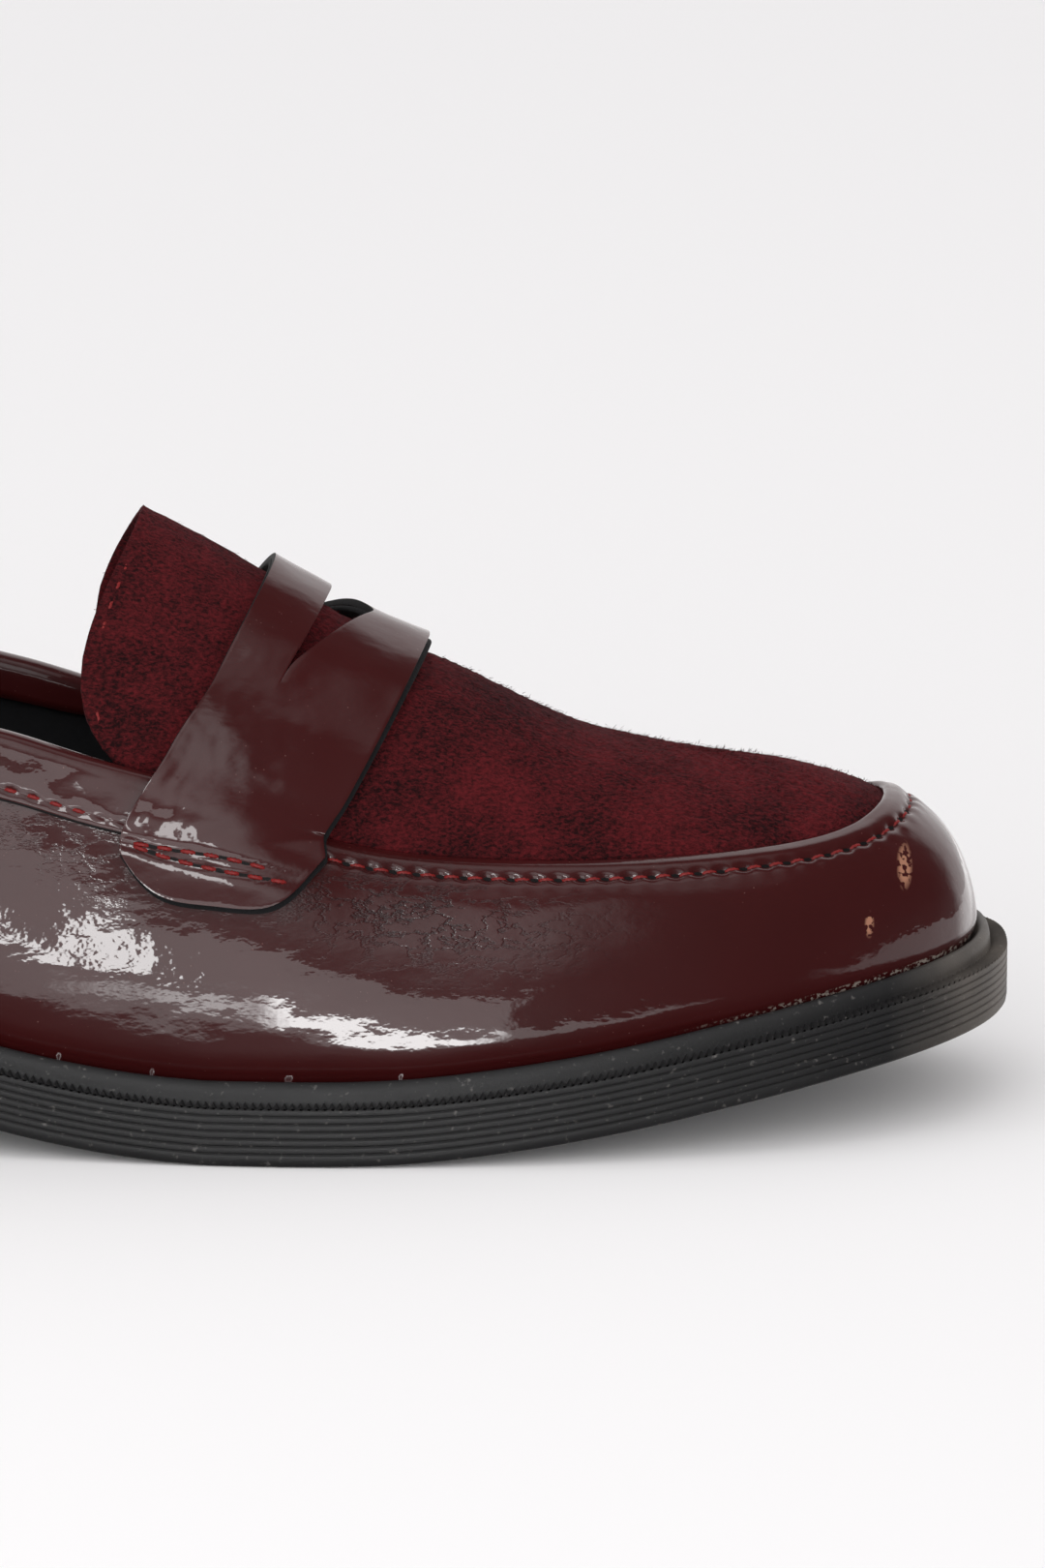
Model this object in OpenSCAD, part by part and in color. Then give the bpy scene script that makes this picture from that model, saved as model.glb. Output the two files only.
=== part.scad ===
// Penny loafer, a right shoe. +X points to the toe, +Y to the inner (medial) side, +Z up.
// The origin is on the ground, under the middle of the outsole's length and width.
// Outlines are tables of stations along the shoe, measured forward from the back of the heel,
// for a sole of drawn_length by drawn_width; place() stretches them to the sizes asked for.

/* [Sole] */
// Length of the outsole, heel to toe
sole_length = 266; // [255:1:280]
// Width of the outsole across the ball of the foot
ball_width = 92; // [84:1:98]
// Height of the outsole's vertical side
sole_edge = 10.2; // [9:0.1:12]
// Height of the rounded welt bead above the side
bead_height = 3; // [2.5:0.1:4]
// How far the upper stands in from the outsole's outline
welt_inset = 5; // [4.5:0.1:6]
// Thickness of the heel's rubber top piece
top_piece_t = 6; // [4:0.5:8]

/* [Upper] */
// Thickness of the patent leather
patent_t = 1.3; // [1:0.1:1.5]
// Thickness of the suede in the apron and tongue
suede_t = 1.2; // [0.9:0.1:1.5]
// Thickness of the lining
lining_t = 0.8; // [0.6:0.1:1]
// Thickness of the toe puff and the heel counter
stiffener_t = 0.8; // [0.5:0.1:1]
// How far the apron laps under the wall
apron_lap = 7; // [5:0.5:8]
// Height of the collar binding on the outside
collar_height = 9.5; // [8:0.5:11]
// Thickness of the collar binding
collar_t = 0.9; // [0.7:0.1:1.1]

/* [Strap] */
// Thickness of the strap's patent leather
strap_t = 1.2; // [1:0.1:1.5]
// Thickness of the strap's backing
strap_backing_t = 0.9; // [0.7:0.1:1.1]
// Length of the slot along the instep
slot_length = 9.8; // [8:0.2:12]
// Half of the slot's length across the foot
slot_reach = 19.4; // [14:0.2:21]

/* [Stitching] */
// Distance from one stitch to the next
stitch_pitch = 3.8; // [3:0.1:5]
// Length of the thread that shows in one stitch
stitch_length = 3; // [2.4:0.1:3.4]
// Thickness of the thread
thread_d = 0.9; // [0.6:0.1:1.1]

/* [Inside the shoe] */
// Thickness of the insole board
board_t = 2; // [1.6:0.1:2.4]
// Thickness of the sock liner
sock_t = 1.4; // [1:0.1:2]
// Thickness of the foam heel pad
pad_t = 3; // [2:0.5:4]

/* [Hidden] */

patent = [0.30, 0.07, 0.08];
suede = [0.36, 0.06, 0.10];
black = [0.08, 0.08, 0.09];
red = [0.62, 0.08, 0.10];
board = [0.62, 0.50, 0.36];

drawn_length = 266;
drawn_width = 92;
half_drawn = drawn_length / 2;

// Outline of the outsole: one side is [heel half width, waist station, waist half width,
// ball station, ball half width, roundness of the toe]. Side -1 is lateral and +1 medial.
heel_station = 34;
heel_roundness = 2.1;
toe_tip_y = 4;
lateral_outline = [32, 34, 32, 158, 46, 2.25];
medial_outline = [31, 104, 28, 178, 46, 2.5];

// Height of the outsole's underside above the ground, by station
underside = [[0, 20], [40, 18.5], [70, 12.5], [100, 4.8], [118, 1.5], [135, 0], [150, 0], [166, 0.4],
    [182, 2], [200, 4.6], [220, 8.3], [240, 11.9], [255, 14.3], [266, 16]];

// The edge line: the topline behind the strap, and the wall's folded edge round the apron
edge_back = 7;
edge_front = 246.3;
edge_height = [[7, 89], [20, 85.5], [40, 80.5], [60, 76.3], [80, 72.2], [103, 66.7], [115, 63], [126, 60],
    [138, 57], [148, 53], [158, 49.6], [170, 47.6], [185, 46.6], [205, 46.6], [222, 47.2], [234, 48],
    [241, 49.3], [246.3, 51.4]];
lateral_edge = [[45, 28.5], [75, 30.5], [103, 31], [126, 31], [145, 30.5], [160, 29.5], [180, 28.5]];
medial_edge = [[45, 27.5], [75, 27], [103, 27], [126, 28], [145, 28.5], [160, 28.5], [180, 28]];
edge_heel_roundness = 2.2;
edge_toe_roundness = 2.35;

// Height of the instep ridge, from the tongue's tip to the toe
ridge_height = [[124, 99.2], [135, 93.4], [143, 88.6], [151, 84], [158, 80], [166, 76.2], [174, 72.8],
    [182, 68.8], [190, 64.8], [197, 61.6], [205, 59.6], [213, 58.2], [221, 57.3], [229, 56.2],
    [237, 54.6], [242, 53.2], [246.3, 51.4]];
// Where on the ridge the section that starts at each edge station ends
ridge_station = [[125.5, 124], [132, 142], [140, 154], [160, 172], [180, 189], [200, 203], [220, 211],
    [246.3, 216]];
tongue_station = 125.5;
tongue_bow = 9.9;

// The strap's slot is cut across the slope of the ridge, and its ends sweep back
slot_station = 151.5;
ridge_slope = 31;
slot_sweep = 1.5;
slot_depth = 40;
tab_clear = 0.1;
bridge_clear = 1.2;

// Handles of the wall's curve: how far it leaves the sole and meets the edge line, by station
foot_out = [[0, 2.5], [60, 2.5], [110, 1.5], [150, 0.5], [215, 0.3], [245, 0], [261, 0]];
foot_up = [[0, 22], [60, 20], [110, 18], [150, 11], [215, 10], [245, 9], [261, 9]];
edge_out = [[0, 0.5], [60, 1], [110, 1.5], [130, 3.5], [150, 7], [170, 7.5], [220, 8.2], [261, 9.7]];
edge_down = [[0, 22], [60, 20], [110, 18], [130, 9], [150, 4], [170, 3], [220, 3], [261, 3.5]];

// Heights above the outsole's underside
feather_h = sole_edge + bead_height;
recess_h = sole_edge - 0.5;
board_h = recess_h + patent_t + 0.1;
sock_h = board_h + board_t;

// The wall's lower edge bends in under the insole board as a lasting margin
bend_in = 1.2;
bend_up = 0.8;
margin_in = 2.2;
margin_w = 11;

nail_head_t = 0.8;
back_strip_t = 1;
// How far a seam's thread stands out of the leather, and where its holes lie
thread_out = 0.15;
apron_seam = 4;
collar_seam = 2;
skived_edge = 0.15;
binding_station = 142;

// Sampling of the shells: stations along one side, and rows up the wall
side_steps = 36;
wall_steps = 10;
apron_steps = 26;
arch_steps = 7;
join_gap = 0.05;

breast_station = 62;
breast_hollow = 3;
heel_steps = 12;
counter_station = 62;
puff_station = 205;
lining_split = 118;

// ---- curves ----

function smooth(t) = let (c = min(1, max(0, t))) c * c * (3 - 2 * c);
function mix(a, b, t) = a + (b - a) * t;

// Value of a smooth curve through the table's points, held level past its ends
function span(tb, s, j = 0) = j >= len(tb) - 2 || s < tb[j + 1][0] ? j : span(tb, s, j + 1);
function slope(tb, j) = let (a = tb[max(0, j - 1)], b = tb[min(len(tb) - 1, j + 1)])
    (b[1] - a[1]) / (b[0] - a[0]);
function hermite(a, b, ma, mb, t) = a * (2 * t^3 - 3 * t^2 + 1) + ma * (t^3 - 2 * t^2 + t)
    + b * (3 * t^2 - 2 * t^3) + mb * (t^3 - t^2);
function table(tb, s) = s <= tb[0][0] ? tb[0][1] : s >= tb[len(tb) - 1][0] ? tb[len(tb) - 1][1]
    : let (j = span(tb, s), h = tb[j + 1][0] - tb[j][0])
    hermite(tb[j][1], tb[j + 1][1], slope(tb, j) * h, slope(tb, j + 1) * h, (s - tb[j][0]) / h);

// A quarter of a superellipse: 1 in the middle and 0 at t = 1
function round_off(t, roundness) = max(0, 1 - t^roundness)^(1 / roundness);

function station(q, from, to) = mix(from, to, (1 - cos(180 * q)) / 2);
function share(s, from, to) = acos(1 - 2 * (s - from) / (to - from)) / 180;

function outline_y(s, side) = let (o = side < 0 ? lateral_outline : medial_outline)
    s < heel_station ? side * o[0] * round_off((heel_station - s) / heel_station, heel_roundness)
    : s < o[1] ? side * mix(o[0], o[2], smooth((s - heel_station) / (o[1] - heel_station)))
    : s < o[3] ? side * mix(o[2], o[4], smooth((s - o[1]) / (o[3] - o[1])))
    : mix(toe_tip_y, side * o[4], round_off(min(1, (s - o[3]) / (drawn_length - o[3])), o[5]));

function edge_y(s, side) = let (tb = side < 0 ? lateral_edge : medial_edge,
        first = tb[0], last = tb[len(tb) - 1])
    s < first[0] ? side * first[1] * round_off((first[0] - s) / (first[0] - edge_back), edge_heel_roundness)
    : s > last[0] ? mix(toe_tip_y, side * last[1],
        round_off(min(1, (s - last[0]) / (edge_front - last[0])), edge_toe_roundness))
    : side * table(tb, s);

function underside_z(s) = max(0, table(underside, s));

// Round the shoe, u runs 0 to 1 from heel to toe on the lateral side and 1 to 2 back on the medial
function side_of(u) = u <= 1 ? -1 : 1;
function along(u) = u <= 1 ? u : 2 - u;
function outline_at(u) = let (s = station(along(u), 0, drawn_length)) [s, outline_y(s, side_of(u))];
function turn(u) = u < 0 ? u + 2 : u > 2 ? u - 2 : u;
function outline_normal(u) = let (d = outline_at(turn(u + 0.002)) - outline_at(turn(u - 0.002)))
    [d[1], -d[0]] / norm(d);

// Point a given inset inside the outline and height above the outsole's underside
function sole_point(u, inset, h) = let (p = outline_at(u) - inset * outline_normal(u))
    [p[0], p[1], underside_z(p[0]) + h];
function edge_point(u) = let (s = station(along(u), edge_back, edge_front))
    [s, edge_y(s, side_of(u)), table(edge_height, s)];

// The wall of the upper: t runs 0 to 1 from the sole to the edge line
function wall(u, t) = let (foot = sole_point(u, welt_inset, feather_h), edge = edge_point(u),
        n = [for (c = outline_normal(u)) c, 0], s = foot[0],
        a = foot + n * table(foot_out, s) + [0, 0, table(foot_up, s)],
        b = edge + n * table(edge_out, s) - [0, 0, table(edge_down, s)])
    foot * (1 - t)^3 + a * 3 * t * (1 - t)^2 + b * 3 * t^2 * (1 - t) + edge * t^3;
function wall_normal(u, t) = let (lo = max(0, t - 0.02), hi = min(1, t + 0.02),
        n = cross(wall(turn(u + 0.004), t) - wall(turn(u - 0.004), t), wall(u, hi) - wall(u, lo)))
    n / norm(n);
function on_wall(u, t, out) = wall(u, t) + out * wall_normal(u, t);
// The t that lies a distance down the wall from the edge line
function down_wall(u, d) = let (first = 1 - 0.05 * d / norm(wall(u, 1) - wall(u, 0.95)))
    1 - (1 - first) * d / norm(wall(u, 1) - wall(u, first));

// The apron and tongue: v runs 0 to 1 from the foot of the arch to the ridge
function foot_point(u) = on_wall(u, 1, -patent_t - join_gap);
function apron(u, v) = let (foot = foot_point(u), s = station(along(u), edge_back, edge_front),
        r = table(ridge_station, s),
        top = [r, toe_tip_y / 2 * smooth((r - 170) / 60), table(ridge_height, r)],
        fan = smooth((s - 190) / 50),
        spread = mix(1.85 + 0.35 * smooth((s - 140) / 60), 1.55, fan), rise = mix(1.62, 1.4, fan),
        w = cos(90 * v)^(2 / spread), h = sin(90 * v)^(2 / rise),
        bow = tongue_bow * max(0, 1 - (s - tongue_station) / 14)^1.5)
    [mix(mix(foot[0], top[0], h), mix(top[0], foot[0], w), fan) - bow * sin(180 * min(1, h)^0.75),
     mix(top[1], foot[1], w), mix(foot[2], top[2], h)];

// ---- grids and solids ----

// Neighbour in a grid. An open grid stops at its ends, a ring closes on itself, and a fan's
// last row is folded, so that its two halves lie together.
function neighbour(g, i, j, form) = let (r = len(g), c = len(g[0]), jj = min(c - 1, max(0, j)))
    form == "ring" ? g[(i + r) % r][jj]
    : form == "fan" && i >= r ? g[2 * r - 2 - i][c - 1 - jj]
    : g[min(r - 1, max(0, i))][jj];
function grid_normal(g, i, j, form) = let (
        n = cross(neighbour(g, i + 1, j, form) - neighbour(g, i - 1, j, form),
            neighbour(g, i, j + 1, form) - neighbour(g, i, j - 1, form)))
    n / max(0.000001, norm(n));
function raised(g, form, amount) = [for (i = [0:len(g) - 1]) [for (j = [0:len(g[0]) - 1])
    g[i][j] + amount(i, j) * grid_normal(g, i, j, form)]];

function place(p) = [(p[0] - half_drawn) * sole_length / drawn_length,
    p[1] * ball_width / drawn_width, p[2]];

// Solid between an outer and an inner grid of the same size
module shell(outer, inner, form = "open") {
    rows = len(outer);
    cols = len(outer[0]);
    function id(k, i, j) = let (folded = form == "fan" && i == rows - 1 && j > (cols - 1) / 2)
        k * rows * cols + (i % rows) * cols + (folded ? cols - 1 - j : j);
    last = form == "ring" ? rows - 1 : rows - 2;
    faces = [
        for (i = [0:last]) for (j = [0:cols - 2]) each [
            [id(0, i, j), id(0, i, j + 1), id(0, i + 1, j + 1)],
            [id(0, i, j), id(0, i + 1, j + 1), id(0, i + 1, j)],
            [id(1, i, j), id(1, i + 1, j + 1), id(1, i, j + 1)],
            [id(1, i, j), id(1, i + 1, j), id(1, i + 1, j + 1)]],
        for (i = [0:last]) each [
            [id(0, i, 0), id(0, i + 1, 0), id(1, i + 1, 0)], [id(0, i, 0), id(1, i + 1, 0), id(1, i, 0)],
            [id(0, i + 1, cols - 1), id(0, i, cols - 1), id(1, i, cols - 1)],
            [id(0, i + 1, cols - 1), id(1, i, cols - 1), id(1, i + 1, cols - 1)]],
        if (form != "ring") for (j = [0:cols - 2]) each [
            [id(0, 0, j + 1), id(0, 0, j), id(1, 0, j)], [id(0, 0, j + 1), id(1, 0, j), id(1, 0, j + 1)]],
        if (form == "open") for (j = [0:cols - 2]) each [
            [id(0, rows - 1, j), id(0, rows - 1, j + 1), id(1, rows - 1, j + 1)],
            [id(0, rows - 1, j), id(1, rows - 1, j + 1), id(1, rows - 1, j)]]];
    whole = [for (f = faces) if (f[0] != f[1] && f[1] != f[2] && f[2] != f[0]) f];
    polyhedron([for (g = [outer, inner]) for (row = g) for (p = row) place(p)], whole);
}

// Solid through closed rings, from the lowest to the highest, with its ends closed side to side.
// A ring starts at the heel, and point k lies across from point count - k.
module loft(rings) {
    count = len(rings[0]);
    top = (len(rings) - 1) * count;
    half = count / 2;
    faces = [
        for (r = [0:len(rings) - 2]) for (i = [0:count - 1]) let (a = r * count + i,
            b = r * count + (i + 1) % count) each [[a, a + count, b + count], [a, b + count, b]],
        for (k = [0:half - 1]) let (a = k, b = k + 1, c = count - k - 1, d = (count - k) % count) each [
            if (a != d) [d, a, b], if (b != c) [d, b, c],
            if (a != d) [top + d, top + b, top + a], if (b != c) [top + d, top + c, top + b]]];
    polyhedron([for (ring = rings) for (p = ring) place(p)], faces);
}

// Tube whose closed section, clockwise as seen along the run, is carried along open rows
module tube(rows) {
    c = len(rows[0]);
    r = len(rows);
    faces = [
        for (i = [0:r - 2]) for (j = [0:c - 1]) let (a = i * c + j, b = i * c + (j + 1) % c) each [
            [a, b, b + c], [a, b + c, a + c]],
        [for (j = [c - 1:-1:0]) j],
        [for (j = [0:c - 1]) (r - 1) * c + j]];
    polyhedron([for (row = rows) for (p = row) place(p)], faces, convexity = 6);
}

// Rings for the lofts: the whole sole, a pad with round ends, and the heel with its breast
function whole_ring(inset, h, rise = function (s) 0) = [for (i = [0:2 * side_steps - 1])
    let (p = sole_point(i / side_steps, inset, h)) p + [0, 0, rise(p[0])]];
function pad_ring(from, to, steps, inset, h) = [for (k = [0:2 * steps - 1]) let (
        side = k <= steps ? -1 : 1, s = mix(from, to, (1 - cos(180 * k / steps)) / 2),
        narrow = round_off(min(1, abs(2 * s - from - to) / (to - from)), 3.5))
    [s, narrow * (outline_y(s, side) - side * inset), underside_z(s) + h]];
function heel_ring(inset, height) = [for (k = [0:2 * heel_steps + 1]) let (
        c = k <= heel_steps + 1 ? k : 2 * heel_steps + 2 - k,
        u = share(breast_station * (1 - cos(90 * min(c, heel_steps) / heel_steps)), 0, drawn_length),
        p = sole_point(k <= heel_steps + 1 ? u : 2 - u, inset, 0),
        s = c > heel_steps ? breast_station - breast_hollow : p[0])
    [s, c > heel_steps ? 0 : p[1], height(s)]];

// ---- stitches ----

// Prisms of thread laid along a line of points at the stitch pitch
module stitches(line) {
    placed = [for (p = line) place(p)];
    steps = [for (i = [1:len(placed) - 1]) norm(placed[i] - placed[i - 1])];
    reach = [for (i = 0, sum = 0; i < len(placed);
        sum = sum + (i < len(steps) ? steps[i] : 0), i = i + 1) sum];
    axis_table = [for (k = [0:2]) [for (i = [0:len(placed) - 1]) [reach[i], placed[i][k]]]];
    function at(d) = [for (k = [0:2]) lookup(d, axis_table[k])];
    total = reach[len(reach) - 1];
    for (d = [stitch_pitch / 2:stitch_pitch:total - stitch_pitch]) {
        a = at(d);
        b = at(d + stitch_length);
        run = b - a;
        translate((a + b) / 2) rotate([0, acos(run[2] / norm(run)), atan2(run[1], run[0])])
            cylinder(h = stitch_length, d = thread_d, center = true, $fn = 8);
    }
}

// ---- the sole and heel ----

module outsole() {
    lip = welt_inset - 2;
    color(black) difference() {
        loft([whole_ring(1.6, 0), whole_ring(0.5, 0.4), whole_ring(0, 1.2),
            whole_ring(0, sole_edge - 0.5), whole_ring(0.4, sole_edge),
            whole_ring(lip - 0.4, sole_edge), whole_ring(lip - 0.2, sole_edge - 0.4),
            whole_ring(lip, sole_edge + bead_height / 2), whole_ring(lip + 0.5, feather_h - 0.5),
            whole_ring(lip + 1.3, feather_h), whole_ring(welt_inset, feather_h - 0.1),
            whole_ring(welt_inset + bend_in, sole_edge + bend_up),
            whole_ring(welt_inset + margin_in, recess_h)]);
        heel_nails();
    }
}

module heel_block() {
    color(black) difference() {
        loft([heel_ring(1, function (s) top_piece_t), heel_ring(0.7, function (s) top_piece_t + 1),
            heel_ring(0.6, function (s) underside_z(s))]);
        heel_nails();
    }
}

module heel_top_piece() {
    color(black) linear_extrude(top_piece_t)
        polygon([for (p = heel_ring(0.8, function (s) 0)) let (q = place(p)) [q[0], q[1]]]);
}

// Five nails, each [station, y, shank diameter], driven through the insole board into the heel
nails = [[32, 0, 4], [17, 0, 2.2], [27, -15, 2.2], [27, 15, 2.2], [48, 0, 2.2]];
module heel_nails() {
    nail_tip = top_piece_t + 2;
    color("silver") for (n = nails) {
        top = underside_z(n[0]) + board_h + board_t;
        translate(place([n[0], n[1], 0])) {
            translate([0, 0, nail_tip]) cylinder(h = top - nail_tip - nail_head_t / 2, d = n[2], $fn = 24);
            translate([0, 0, top - nail_head_t]) cylinder(h = nail_head_t, d = 2 * n[2], $fn = 24);
        }
    }
}

module shank() {
    strip = function (h) [for (s = [56:8:144]) [for (y = [-6, 0, 6]) [s, y, underside_z(s) + h]]];
    color("silver") shell(strip(recess_h + 1.2), strip(recess_h + join_gap));
}

module forefoot_filler() {
    ring = function (h) pad_ring(152, 240, 14, welt_inset + margin_in + margin_w + 0.5, h);
    color(board) loft([ring(recess_h + join_gap), ring(board_h - join_gap)]);
}

// ---- inside the shoe ----

module insole_board() {
    color(board) difference() {
        loft([whole_ring(welt_inset + 4.1, board_h), whole_ring(welt_inset + 3.6, sock_h)]);
        heel_nails();
    }
}

// Extra height of the sock liner over the heel pad
pad_rise = function (s) pad_t * smooth((82 - s) / 14);

module heel_pad() {
    color([0.85, 0.80, 0.55]) loft([pad_ring(14, 78, 14, 13, sock_h + join_gap),
        pad_ring(17, 66, 14, 15, sock_h + pad_t)]);
}

module sock_liner() {
    color(black) loft([whole_ring(welt_inset + 3.6, sock_h + 2 * join_gap, pad_rise),
        whole_ring(welt_inset + 3.4, sock_h + sock_t, pad_rise)]);
}

// ---- the upper ----

function wall_grid(us, ts) = [for (u = us) [for (t = ts) wall(turn(u), t)]];
function spread(from, to, steps) = [for (i = [0:steps]) mix(from, to, i / steps)];

// Thickness that the toe puff and the heel counter add under the patent leather
function stiffening(u) = let (s = station(along(turn(u)), edge_back, edge_front))
    stiffener_t * max(smooth((s - puff_station) / 18), smooth((counter_station - s) / 18));
function edge_share(s) = share(s, edge_back, edge_front);

module vamp_wall() {
    us = [for (i = [0:2 * side_steps - 1]) i / side_steps];
    outer = [for (u = us) [
        sole_point(u, welt_inset + margin_in + margin_w, recess_h + join_gap),
        sole_point(u, welt_inset + margin_in + margin_w / 3, recess_h + join_gap),
        sole_point(u, welt_inset + margin_in + join_gap, recess_h + join_gap),
        sole_point(u, welt_inset + bend_in + join_gap, sole_edge + bend_up),
        for (t = spread(0, 1, wall_steps)) wall(u, t)]];
    color(patent) shell(outer, raised(outer, "ring", function (i, j) -patent_t), "ring");
}

module toe_puff() {
    first = edge_share(puff_station);
    us = spread(first, 2 - first, 22);
    grid = wall_grid(us, spread(0.03, 0.84, 7));
    depth = patent_t + join_gap;
    color([0.75, 0.72, 0.66]) shell(raised(grid, "open", function (i, j) -depth),
        raised(grid, "open", function (i, j) -depth - max(skived_edge, stiffening(us[i]))));
}

module heel_counter() {
    first = edge_share(counter_station);
    us = spread(-first, first, 22);
    grid = wall_grid(us, spread(0.03, 0.76, 7));
    depth = patent_t + join_gap;
    color([0.75, 0.72, 0.66]) shell(raised(grid, "open", function (i, j) -depth),
        raised(grid, "open", function (i, j) -depth - max(skived_edge, stiffening(us[i]))));
}

module lining(from, to, steps, ts) {
    us = spread(from, to, steps);
    grid = wall_grid(us, ts);
    depth = patent_t + 2 * join_gap;
    color(black) shell(raised(grid, "open", function (i, j) -depth - max(skived_edge, stiffening(us[i]))),
        raised(grid, "open", function (i, j) -depth - lining_t - max(skived_edge, stiffening(us[i]))));
}

module vamp_lining() {
    first = edge_share(lining_split);
    lining(first, 2 - first, 44, spread(0, 0.8, 7));
}

module quarter_lining() {
    first = edge_share(lining_split) - 0.002;
    lining(-first, first, 38, spread(0, 1, 8));
}

// Rows of the apron from the tongue's edge to the toe, each from the lateral lap over the ridge
// to the medial lap
function apron_grid(lap, arch) = let (first = edge_share(tongue_station)) [for (i = [0:apron_steps])
    let (u = mix(first, 1, i / apron_steps)) [
        for (d = lap) on_wall(u, down_wall(u, d), -patent_t - join_gap),
        for (v = arch) apron(u, v),
        apron(u, 1),
        for (k = [len(arch) - 1:-1:0]) apron(2 - u, arch[k]),
        for (k = [len(lap) - 1:-1:0]) on_wall(2 - u, down_wall(2 - u, lap[k]), -patent_t - join_gap)]];

module apron_tongue() {
    grid = apron_grid([apron_lap, apron_lap / 2], spread(0, 1 - 1 / arch_steps, arch_steps - 1));
    color(suede) shell(grid, raised(grid, "fan", function (i, j) -suede_t), "fan");
}

module tongue_lining() {
    grid = apron_grid([], spread(0.08, 1 - 1 / arch_steps, arch_steps - 1));
    color(black) shell(raised(grid, "fan", function (i, j) -suede_t - join_gap),
        raised(grid, "fan", function (i, j) -suede_t - join_gap - lining_t), "fan");
}

module back_strip() {
    first = edge_share(7.9);
    grid = wall_grid(spread(-first, first, 6), spread(0, 0.82, 8));
    color(patent) shell(raised(grid, "open", function (i, j) join_gap + back_strip_t),
        raised(grid, "open", function (i, j) join_gap));
}

// Binding folded over the topline, from under one end of the strap round the heel to the other
module collar_binding() {
    first = edge_share(binding_station);
    inner = -patent_t - lining_t - stiffener_t - 0.3;
    leg = collar_height * 0.65;
    rows = [for (w = spread(-first, first, 48)) let (u = turn(w),
            low = down_wall(u, collar_height), mid = down_wall(u, leg), high = down_wall(u, leg / 2)) [
        on_wall(u, low, join_gap), on_wall(u, low, collar_t), on_wall(u, mid, collar_t),
        on_wall(u, high, collar_t), on_wall(u, 1, collar_t),
        on_wall(u, 1, collar_t / 2) + [0, 0, 0.7], on_wall(u, 1, inner / 2) + [0, 0, 1],
        on_wall(u, 1, inner - collar_t / 2) + [0, 0, 0.7],
        on_wall(u, 1, inner - collar_t), on_wall(u, high, inner - collar_t),
        on_wall(u, mid, inner - collar_t),
        on_wall(u, mid, inner), on_wall(u, high, inner), on_wall(u, 1, inner) + [0, 0, join_gap],
        on_wall(u, 1, join_gap) + [0, 0, join_gap], on_wall(u, high, join_gap)]];
    color(patent) tube(rows);
}

// ---- the strap ----

// A point under the strap: p runs 0 to 1 from its rear to its front edge, and c from 0 at the
// end of a tab through 1 at the edge line to 2 on the ridge
function tab_end(p) =
    let (from_lowest = abs(p - 0.38) / (p < 0.38 ? 0.38 : 0.62))
    0.56 + mix(0.14, 0.26, p) * from_lowest^mix(5, 2, p);
function tab_station(p, t) = mix(125.5 - 5.2 * smooth((1 - t) / 0.3), 153, p);
function strap_point(side, p, c) = let (
        t = mix(tab_end(p), 0.95, min(1, c)), v = mix(0.1, 1, max(0, c - 1)),
        s = c <= 1 ? tab_station(p, t)
            : mix(125.5 + 7.4 * min(1, v / 0.4)^0.35, 153.3 + 3.7 * v, p),
        q = edge_share(s), u = side < 0 ? q : 2 - q)
    c <= 1 ? wall(u, t) : apron(u, v);
function strap_grid() = let (tab = spread(0, 1, 4), rise = [for (k = [1:9]) 1 + k / 9]) [
    for (p = spread(0, 1, 8)) [for (c = concat(tab, rise)) strap_point(-1, p, c),
        for (k = [7:-1:0]) strap_point(1, p, rise[k]), for (k = [4:-1:0]) strap_point(1, p, tab[k])]];
// Clearance under the strap: it lies on the wall at its ends and stands off the apron between
function strap_clear(j) = let (c = min(j, 26 - j)) tab_clear + bridge_clear * smooth((c - 3) / 5);

module strap_slot() {
    translate(place([slot_station, 0, table(ridge_height, slot_station)])) rotate([0, ridge_slope, 0])
        linear_extrude(slot_depth, center = true)
            polygon([[0, 0], [-slot_sweep, -slot_reach], [slot_length, 0], [-slot_sweep, slot_reach]]);
}

module strap_layer(from, to, shade) {
    grid = strap_grid();
    color(shade) difference() {
        shell(raised(grid, "open", function (i, j) strap_clear(j) + to),
            raised(grid, "open", function (i, j) strap_clear(j) + from));
        strap_slot();
    }
}

module strap_backing() {
    strap_layer(0, strap_backing_t, black);
}

module strap() {
    strap_layer(strap_backing_t + join_gap, strap_backing_t + strap_t, patent);
}

// ---- the seams ----

module apron_stitching() {
    first = edge_share(152);
    color(red) stitches([for (u = spread(first, 2 - first, 90))
        on_wall(u, down_wall(u, apron_seam), thread_out)]);
}

module collar_stitching() {
    first = edge_share(118);
    color(red) stitches([for (w = spread(-first, first, 90)) let (u = turn(w))
        on_wall(u, down_wall(u, collar_height - collar_seam), collar_t + thread_out)]);
}

module strap_stitching() {
    out = tab_clear + strap_backing_t + strap_t + thread_out;
    color(red) for (side = [-1, 1]) for (dip = [0, 0.045])
        stitches([for (p = spread(0.04, 0.8, 13)) let (t = mix(0.735, 0.7, p) - dip * sin(180 * p),
                q = edge_share(tab_station(p, t)))
            on_wall(side < 0 ? q : 2 - q, t, out)]);
}

module tongue_stitching() {
    points = function (side, vs) [for (v = vs) let (q = edge_share(tongue_station + mix(1.7, 1.1, v)))
        apron(side < 0 ? q : 2 - q, v) + [0, 0, 0.2]];
    color(red) stitches(concat(points(-1, spread(0.2, 1, 16)), points(1, spread(0.95, 0.2, 15))));
}

module back_strip_stitching() {
    q = edge_share(7.6);
    color(red) for (u = [q, 2 - q])
        stitches([for (t = spread(0.04, 0.8, 20)) on_wall(u, t, join_gap + back_strip_t + thread_out)]);
}

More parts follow.
